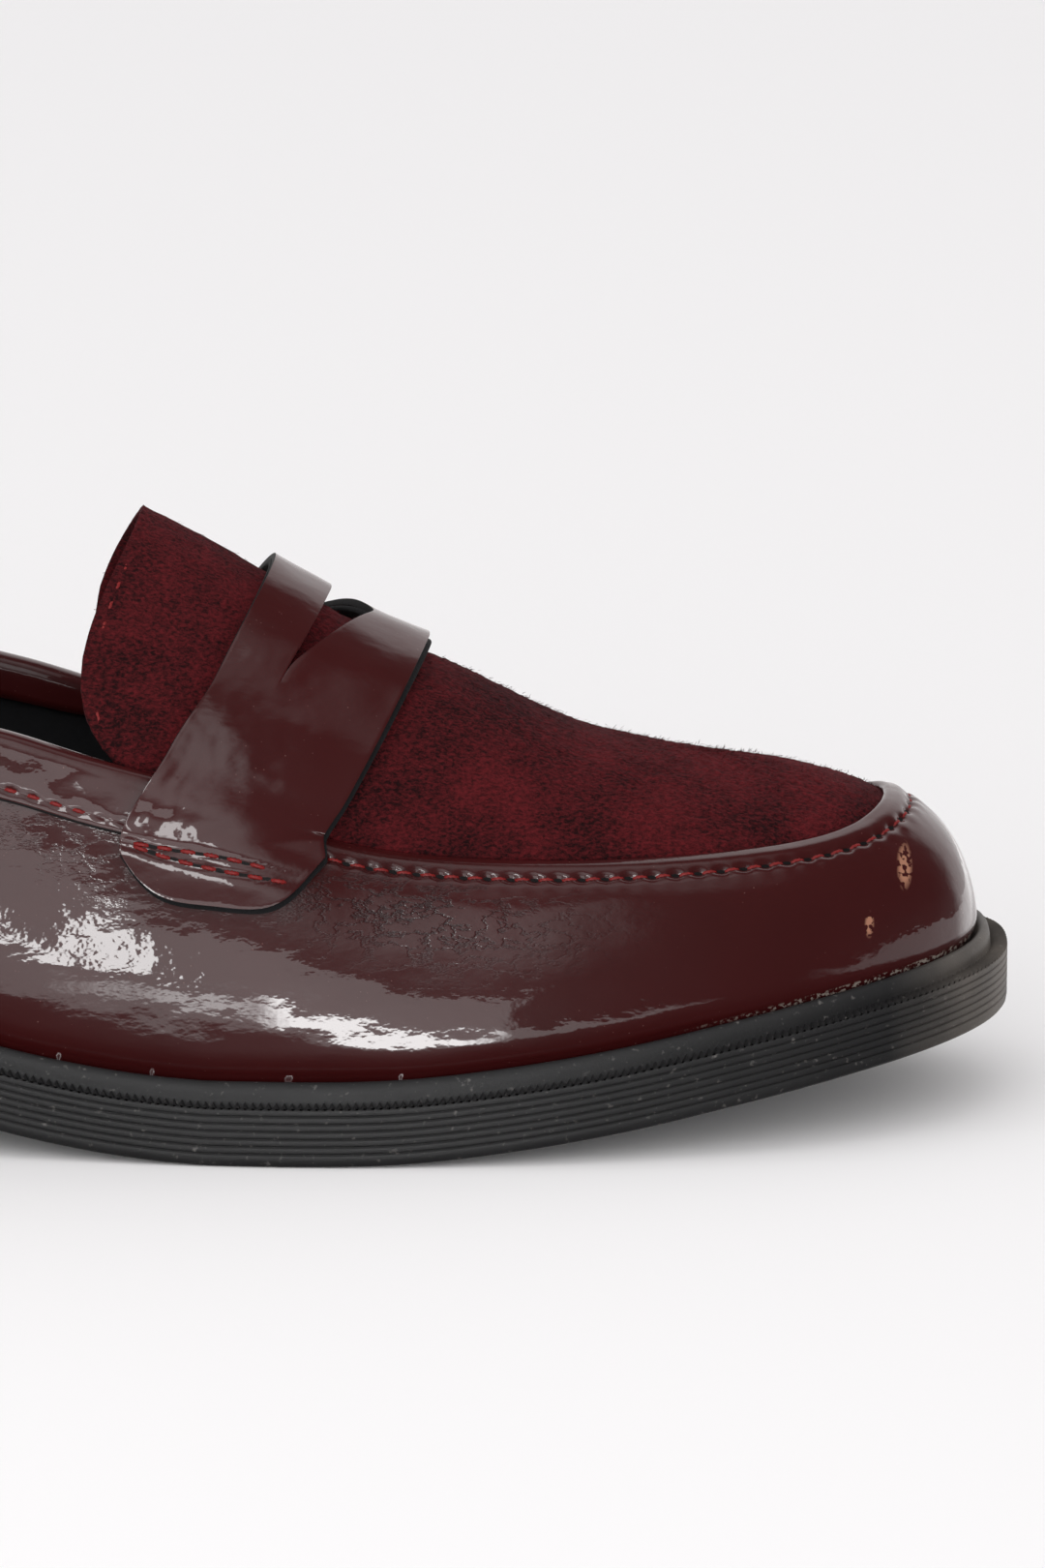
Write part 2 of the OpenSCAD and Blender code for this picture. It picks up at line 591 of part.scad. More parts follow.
outsole();
heel_block();
heel_top_piece();
heel_nails();
shank();
forefoot_filler();
insole_board();
heel_pad();
sock_liner();
vamp_wall();
toe_puff();
heel_counter();
vamp_lining();
quarter_lining();
apron_tongue();
tongue_lining();
back_strip();
collar_binding();
strap();
strap_backing();
apron_stitching();
collar_stitching();
strap_stitching();
tongue_stitching();
back_strip_stitching();
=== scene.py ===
# Penny loafer, right shoe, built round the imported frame. The frame is in metres: +X to the toe,
# +Y to the inner side, +Z up, origin on the ground under the middle of the sole.
import math

import bmesh
import bpy
import numpy as np
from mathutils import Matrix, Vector, noise


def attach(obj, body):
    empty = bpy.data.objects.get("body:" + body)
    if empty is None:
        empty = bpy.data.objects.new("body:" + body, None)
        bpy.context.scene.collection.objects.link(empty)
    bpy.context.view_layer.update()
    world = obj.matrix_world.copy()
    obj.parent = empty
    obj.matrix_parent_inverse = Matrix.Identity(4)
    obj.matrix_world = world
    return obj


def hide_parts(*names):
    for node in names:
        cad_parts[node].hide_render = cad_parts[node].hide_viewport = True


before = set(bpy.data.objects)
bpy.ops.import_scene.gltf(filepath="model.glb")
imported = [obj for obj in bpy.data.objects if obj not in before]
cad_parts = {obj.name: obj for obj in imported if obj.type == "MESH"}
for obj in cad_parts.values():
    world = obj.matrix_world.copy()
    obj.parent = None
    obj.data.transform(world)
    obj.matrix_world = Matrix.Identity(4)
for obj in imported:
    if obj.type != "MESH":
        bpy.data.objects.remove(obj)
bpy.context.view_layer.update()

# ---- Studio ----
# A matt white sweep under the shoe in a pale room. For the glossy leather to mirror, the room is
# flagged black in front and left pale behind, with soft boxes and small strips at the camera side.
VIEW_DOWN = math.radians(13)


def hex_color(text):
    """sRGB hex colour as linear RGBA."""
    parts = [int(text[i:i + 2], 16) / 255 for i in (1, 3, 5)]
    return [c / 12.92 if c <= 0.04045 else ((c + 0.055) / 1.055) ** 2.4 for c in parts] + [1]


def add_node(owner, kind, settings=None, inputs=None, links=None):
    """Adds a node to a material, the world or a light, sets its properties and sockets, and links
    (node, output) pairs to its inputs."""
    node = owner.node_tree.nodes.new(kind)
    for key, value in (settings or {}).items():
        setattr(node, key, value)
    for key, value in (inputs or {}).items():
        node.inputs[key].default_value = value
    for key, (source, output) in (links or {}).items():
        owner.node_tree.links.new(source.outputs[output], node.inputs[key])
    return node


def new_material(name):
    """An empty node material with its output node."""
    material = bpy.data.materials.new(name)
    material.use_nodes = True
    material.node_tree.nodes.clear()
    return material, add_node(material, "ShaderNodeOutputMaterial")


def surface(material, output, shader):
    """Links a shader to the output of a material or the world."""
    material.node_tree.links.new(shader.outputs[0], output.inputs["Surface"])


def new_object(name, bm):
    """Turns a finished bmesh into an object of the scene."""
    mesh = bpy.data.meshes.new(name)
    bm.to_mesh(mesh)
    bm.free()
    piece = bpy.data.objects.new(name, mesh)
    bpy.context.scene.collection.objects.link(piece)
    return piece


camera_data = bpy.data.cameras.new("camera")
camera_data.lens = 186.3
camera_data.sensor_width = 36
camera = bpy.data.objects.new("camera", camera_data)
camera.location = (0.0528, -1.2988, 0.3526)
camera.rotation_euler = (math.pi / 2 - VIEW_DOWN, 0, 0)
bpy.context.scene.collection.objects.link(camera)
bpy.context.scene.camera = camera
bpy.context.scene.view_settings.view_transform = "Standard"

# White painted sweep: matt acrylic paint, no gloss.
sweep_paint, out = new_material("white_sweep_paint")
surface(sweep_paint, out, add_node(sweep_paint, "ShaderNodeBsdfDiffuse",
                                   inputs={"Color": hex_color("#f4f3f3"), "Roughness": 0.5}))
bm = bmesh.new()
bmesh.ops.create_grid(bm, x_segments=1, y_segments=1, size=15)
floor = new_object("floor", bm)
floor.data.materials.append(sweep_paint)
floor.visible_glossy = False

world = bpy.data.worlds.new("studio_room")
world.use_nodes = True
world.node_tree.nodes.clear()
room = add_node(world, "ShaderNodeBackground", inputs={"Color": hex_color("#f4f3f4"), "Strength": 1.01})
where = add_node(world, "ShaderNodeTexCoord")
axes = add_node(world, "ShaderNodeSeparateXYZ", links={"Vector": (where, "Generated")})
behind = add_node(world, "ShaderNodeMapRange",
                  inputs={"From Min": 0.40, "From Max": 0.62, "To Min": 0.012, "To Max": 0.95},
                  links={"Value": (axes, "Y")})
flagged = add_node(world, "ShaderNodeBackground", inputs={"Color": hex_color("#f1eeee")},
                   links={"Strength": (behind, "Result")})
path = add_node(world, "ShaderNodeLightPath")
both = add_node(world, "ShaderNodeMixShader", links={0: (path, "Is Glossy Ray"), 1: (room, "Background"),
                                                     2: (flagged, "Background")})
surface(world, add_node(world, "ShaderNodeOutputWorld"), both)
bpy.context.scene.world = world


def soft_box(name, place, aim, width, height, radiance, fade=0.08, lights=True, mirrored=True):
    """A rectangular soft box at place, facing aim, that the camera doesn't see. Its cloth dims
    over the share fade of its width and height at each edge; lights and mirrored say whether it
    lights matt surfaces and whether it shows in glossy ones."""
    data = bpy.data.lights.new(name, "AREA")
    data.shape = "RECTANGLE"
    data.size = width
    data.size_y = height
    data.energy = radiance * math.pi * width * height
    data.use_nodes = True
    on_cloth = add_node(data, "ShaderNodeNewGeometry")
    axes = add_node(data, "ShaderNodeSeparateXYZ", links={"Vector": (on_cloth, "Parametric")})
    glow = None
    for axis in ("X", "Y"):
        off_centre = add_node(data, "ShaderNodeMath", {"operation": "SUBTRACT"}, inputs={1: 0.5},
                              links={0: (axes, axis)})
        to_side = add_node(data, "ShaderNodeMath", {"operation": "ABSOLUTE"},
                           links={0: (off_centre, "Value")})
        lit = add_node(data, "ShaderNodeMapRange", {"interpolation_type": "SMOOTHSTEP"},
                       inputs={"From Min": 0.5, "From Max": 0.5 - fade}, links={"Value": (to_side, "Value")})
        glow = lit if glow is None else add_node(data, "ShaderNodeMath", {"operation": "MULTIPLY"},
                                                 links={0: (glow, "Result"), 1: (lit, "Result")})
    cloth = next(node for node in data.node_tree.nodes if node.type == "EMISSION")
    data.node_tree.links.new(glow.outputs["Value"], cloth.inputs["Strength"])
    light = bpy.data.objects.new(name, data)
    light.location = place
    light.rotation_euler = (Vector(aim) - Vector(place)).to_track_quat("-Z", "Y").to_euler()
    light.visible_camera = False
    light.visible_diffuse = lights
    light.visible_glossy = mirrored
    bpy.context.scene.collection.objects.link(light)


soft_box("overhead_box", (-0.25, -0.15, 1.5), (0.02, 0, 0.03), 1.6, 1.3, 0.25)
soft_box("camera_side_fill", (0.15, -1.7, 0.5), (0.05, 0, 0), 1.6, 0.7, 0.33, mirrored=False)
soft_box("front_box", (-0.22, -0.8, 0.08), (-0.22, 0, 0.08), 0.76, 0.17, 1.45, 0.05)
soft_box("front_box_upper", (-0.16, -0.8, 0.50), (-0.16, 0, 0.50), 0.95, 0.72, 0.95, 0.3)
soft_box("upper_strip", (-0.115, -0.78, 0.42), (-0.115, 0, 0.42), 0.08, 0.34, 7, 0.2, lights=False)
soft_box("upper_strip_left", (-0.25, -0.78, 0.66), (-0.25, 0, 0.66), 0.20, 0.50, 8, 0.4, lights=False)
soft_box("overhead_haze", (0.0, -0.5, 1.4), (0, 0, 0), 2.2, 1.4, 0.35, 0.3, lights=False)
soft_box("lit_paper_at_toe", (0.42, 0.15, 0.002), (0.42, 0.15, 1), 0.46, 0.6, 0.8, lights=False)
soft_box("lit_paper_in_front", (-0.22, -0.46, 0.002), (-0.22, -0.46, 1), 0.76, 0.67, 1.4, 0.05,
         lights=False)
soft_box("near_strip", (0.028, -0.20, 0.006), (0.028, 0, 0.02), 0.090, 0.018, 15, 0.25, lights=False)
soft_box("near_strip_left", (-0.035, -0.20, 0.007), (-0.035, 0, 0.02), 0.08, 0.014, 5, 0.4, lights=False)
soft_box("left_strip", (-0.25, -0.8, 0.05), (-0.13, 0, 0.03), 0.08, 0.11, 12, 0.15, lights=False)

# ---- Sole unit ----
# A moulded black thermoplastic rubber unit: ribbed vertical side, a ledge of cast notches, and a
# smooth rounded bead against the upper. The upper is cemented into its recess.
MM = 0.001
SOLE_LENGTH = 266
HALF_LENGTH = SOLE_LENGTH / 2
HEEL_STATION = 34
TOE_TIP_Y = 4
LATERAL_OUTLINE = (32, 34, 32, 158, 46, 2.25)
MEDIAL_OUTLINE = (31, 104, 28, 178, 46, 2.5)
UNDERSIDE = [(0, 20), (40, 18.5), (70, 12.5), (100, 4.8), (118, 1.5), (135, 0), (150, 0), (166, 0.4),
             (182, 2), (200, 4.6), (220, 8.3), (240, 11.9), (255, 14.3), (266, 16)]
WELT_INSET = 5
SOLE_EDGE = 10.2
FEATHER_H = 13.2
RECESS_H = 9.7
RIB_PITCH = 1.25
RIB_DEPTH = 0.34


def smooth(t):
    c = np.clip(t, 0, 1)
    return c * c * (3 - 2 * c)


def mix(a, b, t):
    return a + (b - a) * t


def curve(table, s):
    """Smooth curve through the (station, value) points, held level past its ends."""
    xs, ys = (np.array(column, float) for column in zip(*table))
    s = np.clip(s, xs[0], xs[-1])
    j = np.clip(np.searchsorted(xs, s, "right") - 1, 0, len(xs) - 2)
    slopes = np.empty(len(xs))
    slopes[1:-1] = (ys[2:] - ys[:-2]) / (xs[2:] - xs[:-2])
    slopes[0] = (ys[1] - ys[0]) / (xs[1] - xs[0])
    slopes[-1] = (ys[-1] - ys[-2]) / (xs[-1] - xs[-2])
    h = xs[j + 1] - xs[j]
    t = (s - xs[j]) / h
    return (ys[j] * (2 * t**3 - 3 * t**2 + 1) + slopes[j] * h * (t**3 - 2 * t**2 + t)
            + ys[j + 1] * (3 * t**2 - 2 * t**3) + slopes[j + 1] * h * (t**3 - t**2))


def round_off(t, roundness):
    """A quarter of a superellipse: 1 in the middle and 0 at t = 1."""
    return np.maximum(0, 1 - np.clip(t, 0, 1) ** roundness) ** (1 / roundness)


def side_y(s, side, outline):
    """The outline's y at a station, on the outer (-1) or inner (1) side."""
    heel, waist_s, waist, ball_s, ball, toe = outline
    back = side * heel * round_off((HEEL_STATION - s) / HEEL_STATION, 2.1)
    front = mix(TOE_TIP_Y, side * ball, round_off((s - ball_s) / (SOLE_LENGTH - ball_s), toe))
    middle = mix(heel, waist, smooth((s - HEEL_STATION) / max(1, waist_s - HEEL_STATION)))
    middle = side * mix(middle, ball, smooth((s - waist_s) / (ball_s - waist_s)))
    return np.where(s < HEEL_STATION, back, np.where(s < ball_s, middle, front))


def outline_at(u):
    """Outline of the sole; u runs 0 to 1 from heel to toe outside, and 1 to 2 back inside."""
    u = np.mod(u, 2)
    s = HALF_LENGTH * (1 - np.cos(math.pi * np.where(u <= 1, u, 2 - u)))
    y = np.where(u <= 1, side_y(s, -1, LATERAL_OUTLINE), side_y(s, 1, MEDIAL_OUTLINE))
    return np.stack([s, y], -1)


def outline_normal(u):
    d = outline_at(u + 0.002) - outline_at(u - 0.002)
    n = np.stack([d[..., 1], -d[..., 0]], -1)
    return n / np.linalg.norm(n, axis=-1, keepdims=True)


def underside(s):
    """Height of the sole's lower face above the ground."""
    return np.maximum(0, curve(UNDERSIDE, s))


def sole_point(u, inset, h):
    """Point a given inset inside the outline and height above the underside."""
    p = outline_at(u) - np.expand_dims(inset, -1) * outline_normal(u)
    return np.stack([p[..., 0], p[..., 1], underside(p[..., 0]) + h], -1)


def length_along(points):
    """Length along a line up to each of its points, in millimetres."""
    return np.concatenate([[0], np.cumsum(np.linalg.norm(np.diff(points, axis=0), axis=1))])


def even_ring(count):
    """u values round the sole at even steps, the same stations on both sides."""
    fine = np.linspace(0, 1, 2001)
    reach = length_along(outline_at(fine))
    q = np.interp(np.linspace(0, reach[-1], count + 1), reach, fine)
    return np.concatenate([q, 2 - q[-2:0:-1]])


def place(points):
    """Station coordinates in millimetres as frame coordinates in metres."""
    return (np.asarray(points) - (HALF_LENGTH, 0, 0)) * MM


def skin(name, points, ring=False, tube=False, bridge=None, cut=(), layers=None):
    """A grid of points (rows along the shoe, columns across) as a mesh object. ring joins the last
    row to the first, tube the last column to the first; the faces after row bridge are left out,
    and those that start at the columns in cut take the second material."""
    if ring:
        points = np.concatenate([points, points[:1]])
    if tube:
        points = np.concatenate([points, points[:, :1]], 1)
    rows, columns = points.shape[:2]
    bm = bmesh.new()
    bmesh.ops.create_grid(bm, x_segments=columns - 1, y_segments=rows - 1, size=0.5)
    placed = place(points)
    bm.verts.index_update()
    cells = [(round((v.co.y + 0.5) * (rows - 1)), round((v.co.x + 0.5) * (columns - 1))) for v in bm.verts]
    for layer_name, values in (layers or {}).items():
        layer = bm.verts.layers.float.new(layer_name)
        for v, (i, j) in zip(bm.verts, cells):
            v[layer] = values[i % values.shape[0], j % values.shape[1]]
    for face in bm.faces:
        first = min(cells[v.index][1] for v in face.verts) if cut else None
        face.material_index = 1 if first in cut else 0
    for v, (i, j) in zip(bm.verts, cells):
        v.co = placed[i, j]
    if bridge is not None:
        after = {v for v, (i, j) in zip(bm.verts, cells) if i > bridge}
        astride = [f for f in bm.faces if 0 < len(after & set(f.verts)) < 4]
        bmesh.ops.delete(bm, geom=astride, context="FACES_ONLY")
    bmesh.ops.remove_doubles(bm, verts=bm.verts, dist=0.5e-5)
    bmesh.ops.reverse_faces(bm, faces=bm.faces)
    if tube and not ring:
        bmesh.ops.holes_fill(bm, edges=[e for e in bm.edges if e.is_boundary], sides=0)
    piece = new_object(name, bm)
    piece.data.shade_smooth()
    return piece


def across(points):
    """Points on the middle line between each point of a ring and the one across from it."""
    return (points + np.roll(points[::-1], 1, axis=0)) / 2


def loft(us, rows):
    """Profile rows (inset, height, share of the way to the middle) round the sole, as a grid."""
    columns = []
    for inset, h, share in rows:
        ring = sole_point(us, np.full(us.shape, inset), h)
        columns.append(mix(ring, across(ring), share) if share else ring)
    return np.stack(columns, 1)


# Thermoplastic rubber, injection moulded: nearly black, a soft satin shine, pale dust specks scattered
# over it and tan scuffs where the toe tip brushes the ground.
def black_rubber(name, shade, roughness, dust_amount):
    rubber, out = new_material(name)
    spot = add_node(rubber, "ShaderNodeTexCoord")
    grain, cloud, specks = (
        add_node(rubber, "ShaderNodeTexNoise",
                 inputs={"Scale": 1 / (grain_mm * MM), "Detail": detail, "Roughness": unevenness},
                 links={"Vector": (spot, "Object")})
        for grain_mm, detail, unevenness in ((0.6, 5.0, 0.7), (14, 5.0, 0.5), (1.1, 2.0, 0.5)))
    speck_mask = add_node(rubber, "ShaderNodeMapRange",
                          inputs={"From Min": 0.64, "From Max": 0.80, "To Min": 0.0, "To Max": dust_amount},
                          links={"Value": (specks, "Fac")})
    axes = add_node(rubber, "ShaderNodeSeparateXYZ", links={"Vector": (spot, "Object")})
    toe = add_node(rubber, "ShaderNodeMapRange",
                   inputs={"From Min": 112 * MM, "From Max": 132 * MM, "To Min": 0.0, "To Max": 1.2},
                   links={"Value": (axes, "X")})
    toe_dust = add_node(rubber, "ShaderNodeMath", {"operation": "MULTIPLY"},
                        links={0: (toe, "Result"), 1: (cloud, "Fac")})
    base = add_node(rubber, "ShaderNodeMix", {"data_type": "RGBA"},
                    inputs={"A": hex_color(shade), "B": hex_color("#2c2b2c")},
                    links={"Factor": (cloud, "Fac")})
    dusty = add_node(rubber, "ShaderNodeMix", {"data_type": "RGBA"}, inputs={"B": hex_color("#7d746b")},
                     links={"Factor": (toe_dust, "Value"), "A": (base, "Result")})
    speckled = add_node(rubber, "ShaderNodeMix", {"data_type": "RGBA"}, inputs={"B": hex_color("#a8a29c")},
                        links={"Factor": (speck_mask, "Result"), "A": (dusty, "Result")})
    rough = add_node(rubber, "ShaderNodeMapRange",
                     inputs={"To Min": roughness - 0.08, "To Max": roughness + 0.12},
                     links={"Value": (cloud, "Fac")})
    bump = add_node(rubber, "ShaderNodeBump", inputs={"Strength": 0.7, "Distance": 0.12 * MM},
                    links={"Height": (grain, "Fac")})
    shader = add_node(rubber, "ShaderNodeBsdfPrincipled", inputs={"IOR": 1.5},
                      links={"Base Color": (speckled, "Result"), "Roughness": (rough, "Result"),
                             "Normal": (bump, "Normal")})
    surface(rubber, out, shader)
    return rubber


sole_rubber = black_rubber("black_tpr_satin_moulded", "#1f1f20", 0.5, 0.3)

NOTCHES = 480
NOTCH_DEPTH = 1.25
LIP = 3.0
TREAD_PITCH = 6.0
TREAD_DEPTH = 1.0
BOTTOM_ROWS = 12
sole_us = even_ring(NOTCHES)
rib_rows = []
for rib in range(7):
    low = 1.15 + rib * RIB_PITCH
    rib_rows += [(0.04, low), (0, low + 0.2), (0, low + RIB_PITCH - 0.45), (0.06, low + RIB_PITCH - 0.32),
                 (RIB_DEPTH, low + RIB_PITCH - 0.22), (RIB_DEPTH, low + RIB_PITCH - 0.1)]
side_rows = [(1.0, 0), (0.45, 0.2), (0.12, 0.6)] + rib_rows + [(0.04, SOLE_EDGE - 0.25), (0.3, SOLE_EDGE)]
ledge_rows = [(0.45, SOLE_EDGE + 0.05), (1.5, SOLE_EDGE + 0.15), (2.5, SOLE_EDGE + 0.1)]
bead_rows = [(LIP - 0.3, SOLE_EDGE - 0.45), (LIP - 0.15, SOLE_EDGE + 0.3), (LIP - 0.1, SOLE_EDGE + 1.2),
             (LIP + 0.1, FEATHER_H - 0.95), (LIP + 0.5, FEATHER_H - 0.35), (LIP + 1.0, FEATHER_H - 0.04),
             (LIP + 1.5, FEATHER_H - 0.02), (LIP + 1.95, FEATHER_H - 0.4),
             (WELT_INSET + 1.2, SOLE_EDGE + 0.8), (WELT_INSET + 2.2, RECESS_H)]
sole_rows = ([(1.0, 0, 1 - k / BOTTOM_ROWS) for k in range(BOTTOM_ROWS)] + [(i, h, 0) for i, h in side_rows]
             + [(i, h, 0) for i, h in ledge_rows + bead_rows]
             + [(WELT_INSET + 2.2, RECESS_H, share) for share in (0.5, 1)])
sole_grid = loft(sole_us, sole_rows)
first_ledge = BOTTOM_ROWS + len(side_rows)
sole_grid[1::2, first_ledge - 2:first_ledge + len(ledge_rows) + 1, 2] -= NOTCH_DEPTH
tread = sole_grid[:, 1:BOTTOM_ROWS - 1]
groove = smooth(3 * np.cos(2 * math.pi * tread[..., 0] / TREAD_PITCH) - 1)
tread[..., 2] += TREAD_DEPTH * groove * smooth((tread[..., 0] - 108) / 4) * smooth((250 - tread[..., 0]) / 4)
outsole = skin("outsole_unit", sole_grid, ring=True)
outsole.data.materials.append(sole_rubber)
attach(outsole, "root")
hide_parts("outsole")

# ---- Heel ----
# A low block of the same moulded rubber with a harder rubber top piece, nailed on from inside
# through the insole board with five steel nails.
BREAST_STATION = 62
BREAST_HOLLOW = 3
TOP_PIECE_T = 6
BREAST_STEPS = 24
breast_share = math.acos(1 - BREAST_STATION / HALF_LENGTH) / math.pi
heel_q = even_ring(NOTCHES)[:NOTCHES + 1]
heel_q = np.append(heel_q[heel_q < breast_share][::2], breast_share)


def heel_ring(inset):
    """Plan points of the heel: outer side, across the hollowed breast, and inner side back."""
    sides = [sole_point(u, np.full(u.shape, inset), 0)[:, :2] for u in (heel_q, 2 - heel_q)]
    w = np.linspace(-1, 1, 2 * BREAST_STEPS + 1)[1:-1]
    y = np.where(w < 0, -w * sides[0][-1, 1], w * sides[1][-1, 1])
    breast = np.stack([sides[0][-1, 0] - BREAST_HOLLOW * (1 - w**2), y], -1)
    return np.concatenate([sides[0], breast, sides[1][:0:-1]])


def heel_loft(rows):
    """Rows (inset, height as a function of station, share of the way to the middle) as a grid."""
    columns = []
    for inset, height, share in rows:
        plan = heel_ring(inset)
        ring = np.concatenate([plan, height(plan[:, :1])], 1)
        columns.append(mix(ring, across(ring), share) if share else ring)
    return np.stack(columns, 1)


def level(z):
    return lambda s: np.full(s.shape, z)


def block_level(share):
    return lambda s: mix(TOP_PIECE_T, underside(s), share)


hard_rubber = black_rubber("black_hard_rubber_top_piece", "#121213", 0.55, 0.3)
top_rows = ([(1.4, level(0), share) for share in (1, 0.75, 0.5, 0.25)]
            + [(1.4, level(0), 0), (1.0, level(0.15), 0), (0.82, level(0.6), 0), (0.8, level(2), 0),
               (0.8, level(4), 0), (0.82, level(TOP_PIECE_T - 0.35), 0), (1.1, level(TOP_PIECE_T), 0)]
            + [(1.1, level(TOP_PIECE_T), share) for share in (0.5, 1)])
top_piece = skin("heel_top_piece_rubber", heel_loft(top_rows), ring=True)
top_piece.data.materials.append(hard_rubber)
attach(top_piece, "root")
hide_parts("heel_top_piece")

HEEL_RIBS = 10
block_rows = [(1.2, block_level(0), 1), (1.2, block_level(0), 0.5), (1.2, block_level(0), 0)]
for rib in range(HEEL_RIBS):
    low = 0.02 + 0.96 * rib / HEEL_RIBS
    block_rows += [(0.9, block_level(low), 0), (0.6, block_level(low + 0.02), 0),
                   (0.6, block_level(low + 0.072), 0), (0.9, block_level(low + 0.09), 0)]
block_rows += [(0.7, block_level(1), share) for share in (0, 0.5, 1)]
heel_block = skin("heel_block_ribbed", heel_loft(block_rows), ring=True)
heel_block.data.materials.append(sole_rubber)
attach(heel_block, "root")
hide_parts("heel_block")


# Drawn steel for the nails and blued spring steel for the shank: hidden under the sock liner.
def steel(name, shade, roughness):
    metal, out = new_material(name)
    spot = add_node(metal, "ShaderNodeTexCoord")
    drawn = add_node(metal, "ShaderNodeTexNoise", inputs={"Scale": 1 / (0.4 * MM), "Detail": 3.0},
                     links={"Vector": (spot, "Object")})
    rough = add_node(metal, "ShaderNodeMapRange",
                     inputs={"To Min": roughness - 0.08, "To Max": roughness + 0.1},
                     links={"Value": (drawn, "Fac")})
    shader = add_node(metal, "ShaderNodeBsdfPrincipled",
                      inputs={"Base Color": hex_color(shade), "Metallic": 1.0},
                      links={"Roughness": (rough, "Result")})
    surface(metal, out, shader)
    return metal


def refinish(node, material):
    """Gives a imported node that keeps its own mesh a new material."""
    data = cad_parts[node].data
    data.materials.clear()
    data.materials.append(material)


refinish("heel_nails", steel("bright_drawn_steel", "#b9b9bd", 0.3))
refinish("shank", steel("blued_spring_steel", "#4c5563", 0.35))

# ---- Bottom stack ----
# A cellulose insole board, a felt filler between the lasting margins, a latex foam heel pad and a
# black microfibre sock liner glued over them.
SOCK_H = 13.1
SOCK_T = 1.4
PAD_T = 3


def pressed_fibre(name, dark, light, grain_mm):
    board, out = new_material(name)
    spot = add_node(board, "ShaderNodeTexCoord")
    fibre = add_node(board, "ShaderNodeTexNoise", inputs={"Scale": 1 / (grain_mm * MM), "Detail": 6.0},
                     links={"Vector": (spot, "Object")})
    tint = add_node(board, "ShaderNodeMix", {"data_type": "RGBA"},
                    inputs={"A": hex_color(dark), "B": hex_color(light)},
                    links={"Factor": (fibre, "Fac")})
    bump = add_node(board, "ShaderNodeBump", inputs={"Strength": 0.4, "Distance": 0.1 * MM},
                    links={"Height": (fibre, "Fac")})
    shader = add_node(board, "ShaderNodeBsdfPrincipled", inputs={"Roughness": 0.85},
                      links={"Base Color": (tint, "Result"), "Normal": (bump, "Normal")})
    surface(board, out, shader)
    return board


refinish("insole_board", pressed_fibre("tan_cellulose_board", "#6f5a43", "#94795a", 0.8))
refinish("forefoot_filler", pressed_fibre("pressed_grey_felt", "#5b5148", "#877866", 0.5))
stiffener = pressed_fibre("thermoplastic_stiffener_sheet", "#a8a294", "#c2bcae", 1.2)
refinish("toe_puff", stiffener)
refinish("heel_counter", stiffener)

PAD_FROM, PAD_TO = 14, 78
pad_s = mix(PAD_FROM, PAD_TO, (1 - np.cos(np.linspace(0, math.pi, 61))) / 2)
pad_width = round_off(np.abs(2 * pad_s - PAD_FROM - PAD_TO) / (PAD_TO - PAD_FROM), 3.5)
pad_sides = [pad_width * (side_y(pad_s, side, outline) - side * 13)
             for side, outline in ((-1, LATERAL_OUTLINE), (1, MEDIAL_OUTLINE))]
pad_plan = np.concatenate([np.stack([pad_s, pad_sides[0]], -1), np.stack([pad_s, pad_sides[1]], -1)[-2:0:-1]])
pad_middle = across(np.concatenate([pad_plan, pad_plan[:, :1] * 0], 1))[:, :2]
pad_rows = [(1, 0.06), (0.5, 0.06), (0, 0.06), (0.02, 0.8), (0.08, 1.7), (0.2, 2.4), (0.4, 2.8),
            (0.7, 2.95), (1, 3)]
pad_grid = []
for share, h in pad_rows:
    plan = mix(pad_plan, pad_middle, share)
    pad_grid.append(np.concatenate([plan, underside(plan[:, :1]) + SOCK_H + h], 1))
heel_pad = skin("heel_pad_foam", np.stack(pad_grid, 1), ring=True)
heel_pad.data.materials.append(pressed_fibre("cream_latex_foam", "#cdbf8e", "#ddd2a6", 1.0))
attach(heel_pad, "root")
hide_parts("heel_pad")


# Polyester lining cloth, knitted and foam-backed: matt black with a faint cross grain.
def lining_cloth(name, shade, rib_mm):
    cloth, out = new_material(name)
    spot = add_node(cloth, "ShaderNodeTexCoord")
    knit = add_node(cloth, "ShaderNodeTexVoronoi", inputs={"Scale": 1 / (rib_mm * MM)},
                    links={"Vector": (spot, "Object")})
    cloud = add_node(cloth, "ShaderNodeTexNoise", inputs={"Scale": 1 / (9 * MM), "Detail": 6.0},
                     links={"Vector": (spot, "Object")})
    tint = add_node(cloth, "ShaderNodeMix", {"data_type": "RGBA"},
                    inputs={"A": hex_color(shade), "B": hex_color("#1a1a1d")},
                    links={"Factor": (cloud, "Fac")})
    bump = add_node(cloth, "ShaderNodeBump", inputs={"Strength": 0.5, "Distance": 0.12 * MM},
                    links={"Height": (knit, "Distance")})
    shader = add_node(cloth, "ShaderNodeBsdfPrincipled",
                      inputs={"Roughness": 0.9, "Specular IOR Level": 0.3, "Sheen Weight": 0.05,
                              "Sheen Roughness": 0.5},
                      links={"Base Color": (tint, "Result"), "Normal": (bump, "Normal")})
    surface(cloth, out, shader)
    return cloth


black_lining = lining_cloth("black_polyester_lining", "#0d0d10", 0.7)


def pad_rise(s):
    return PAD_T * smooth((82 - s) / 14)


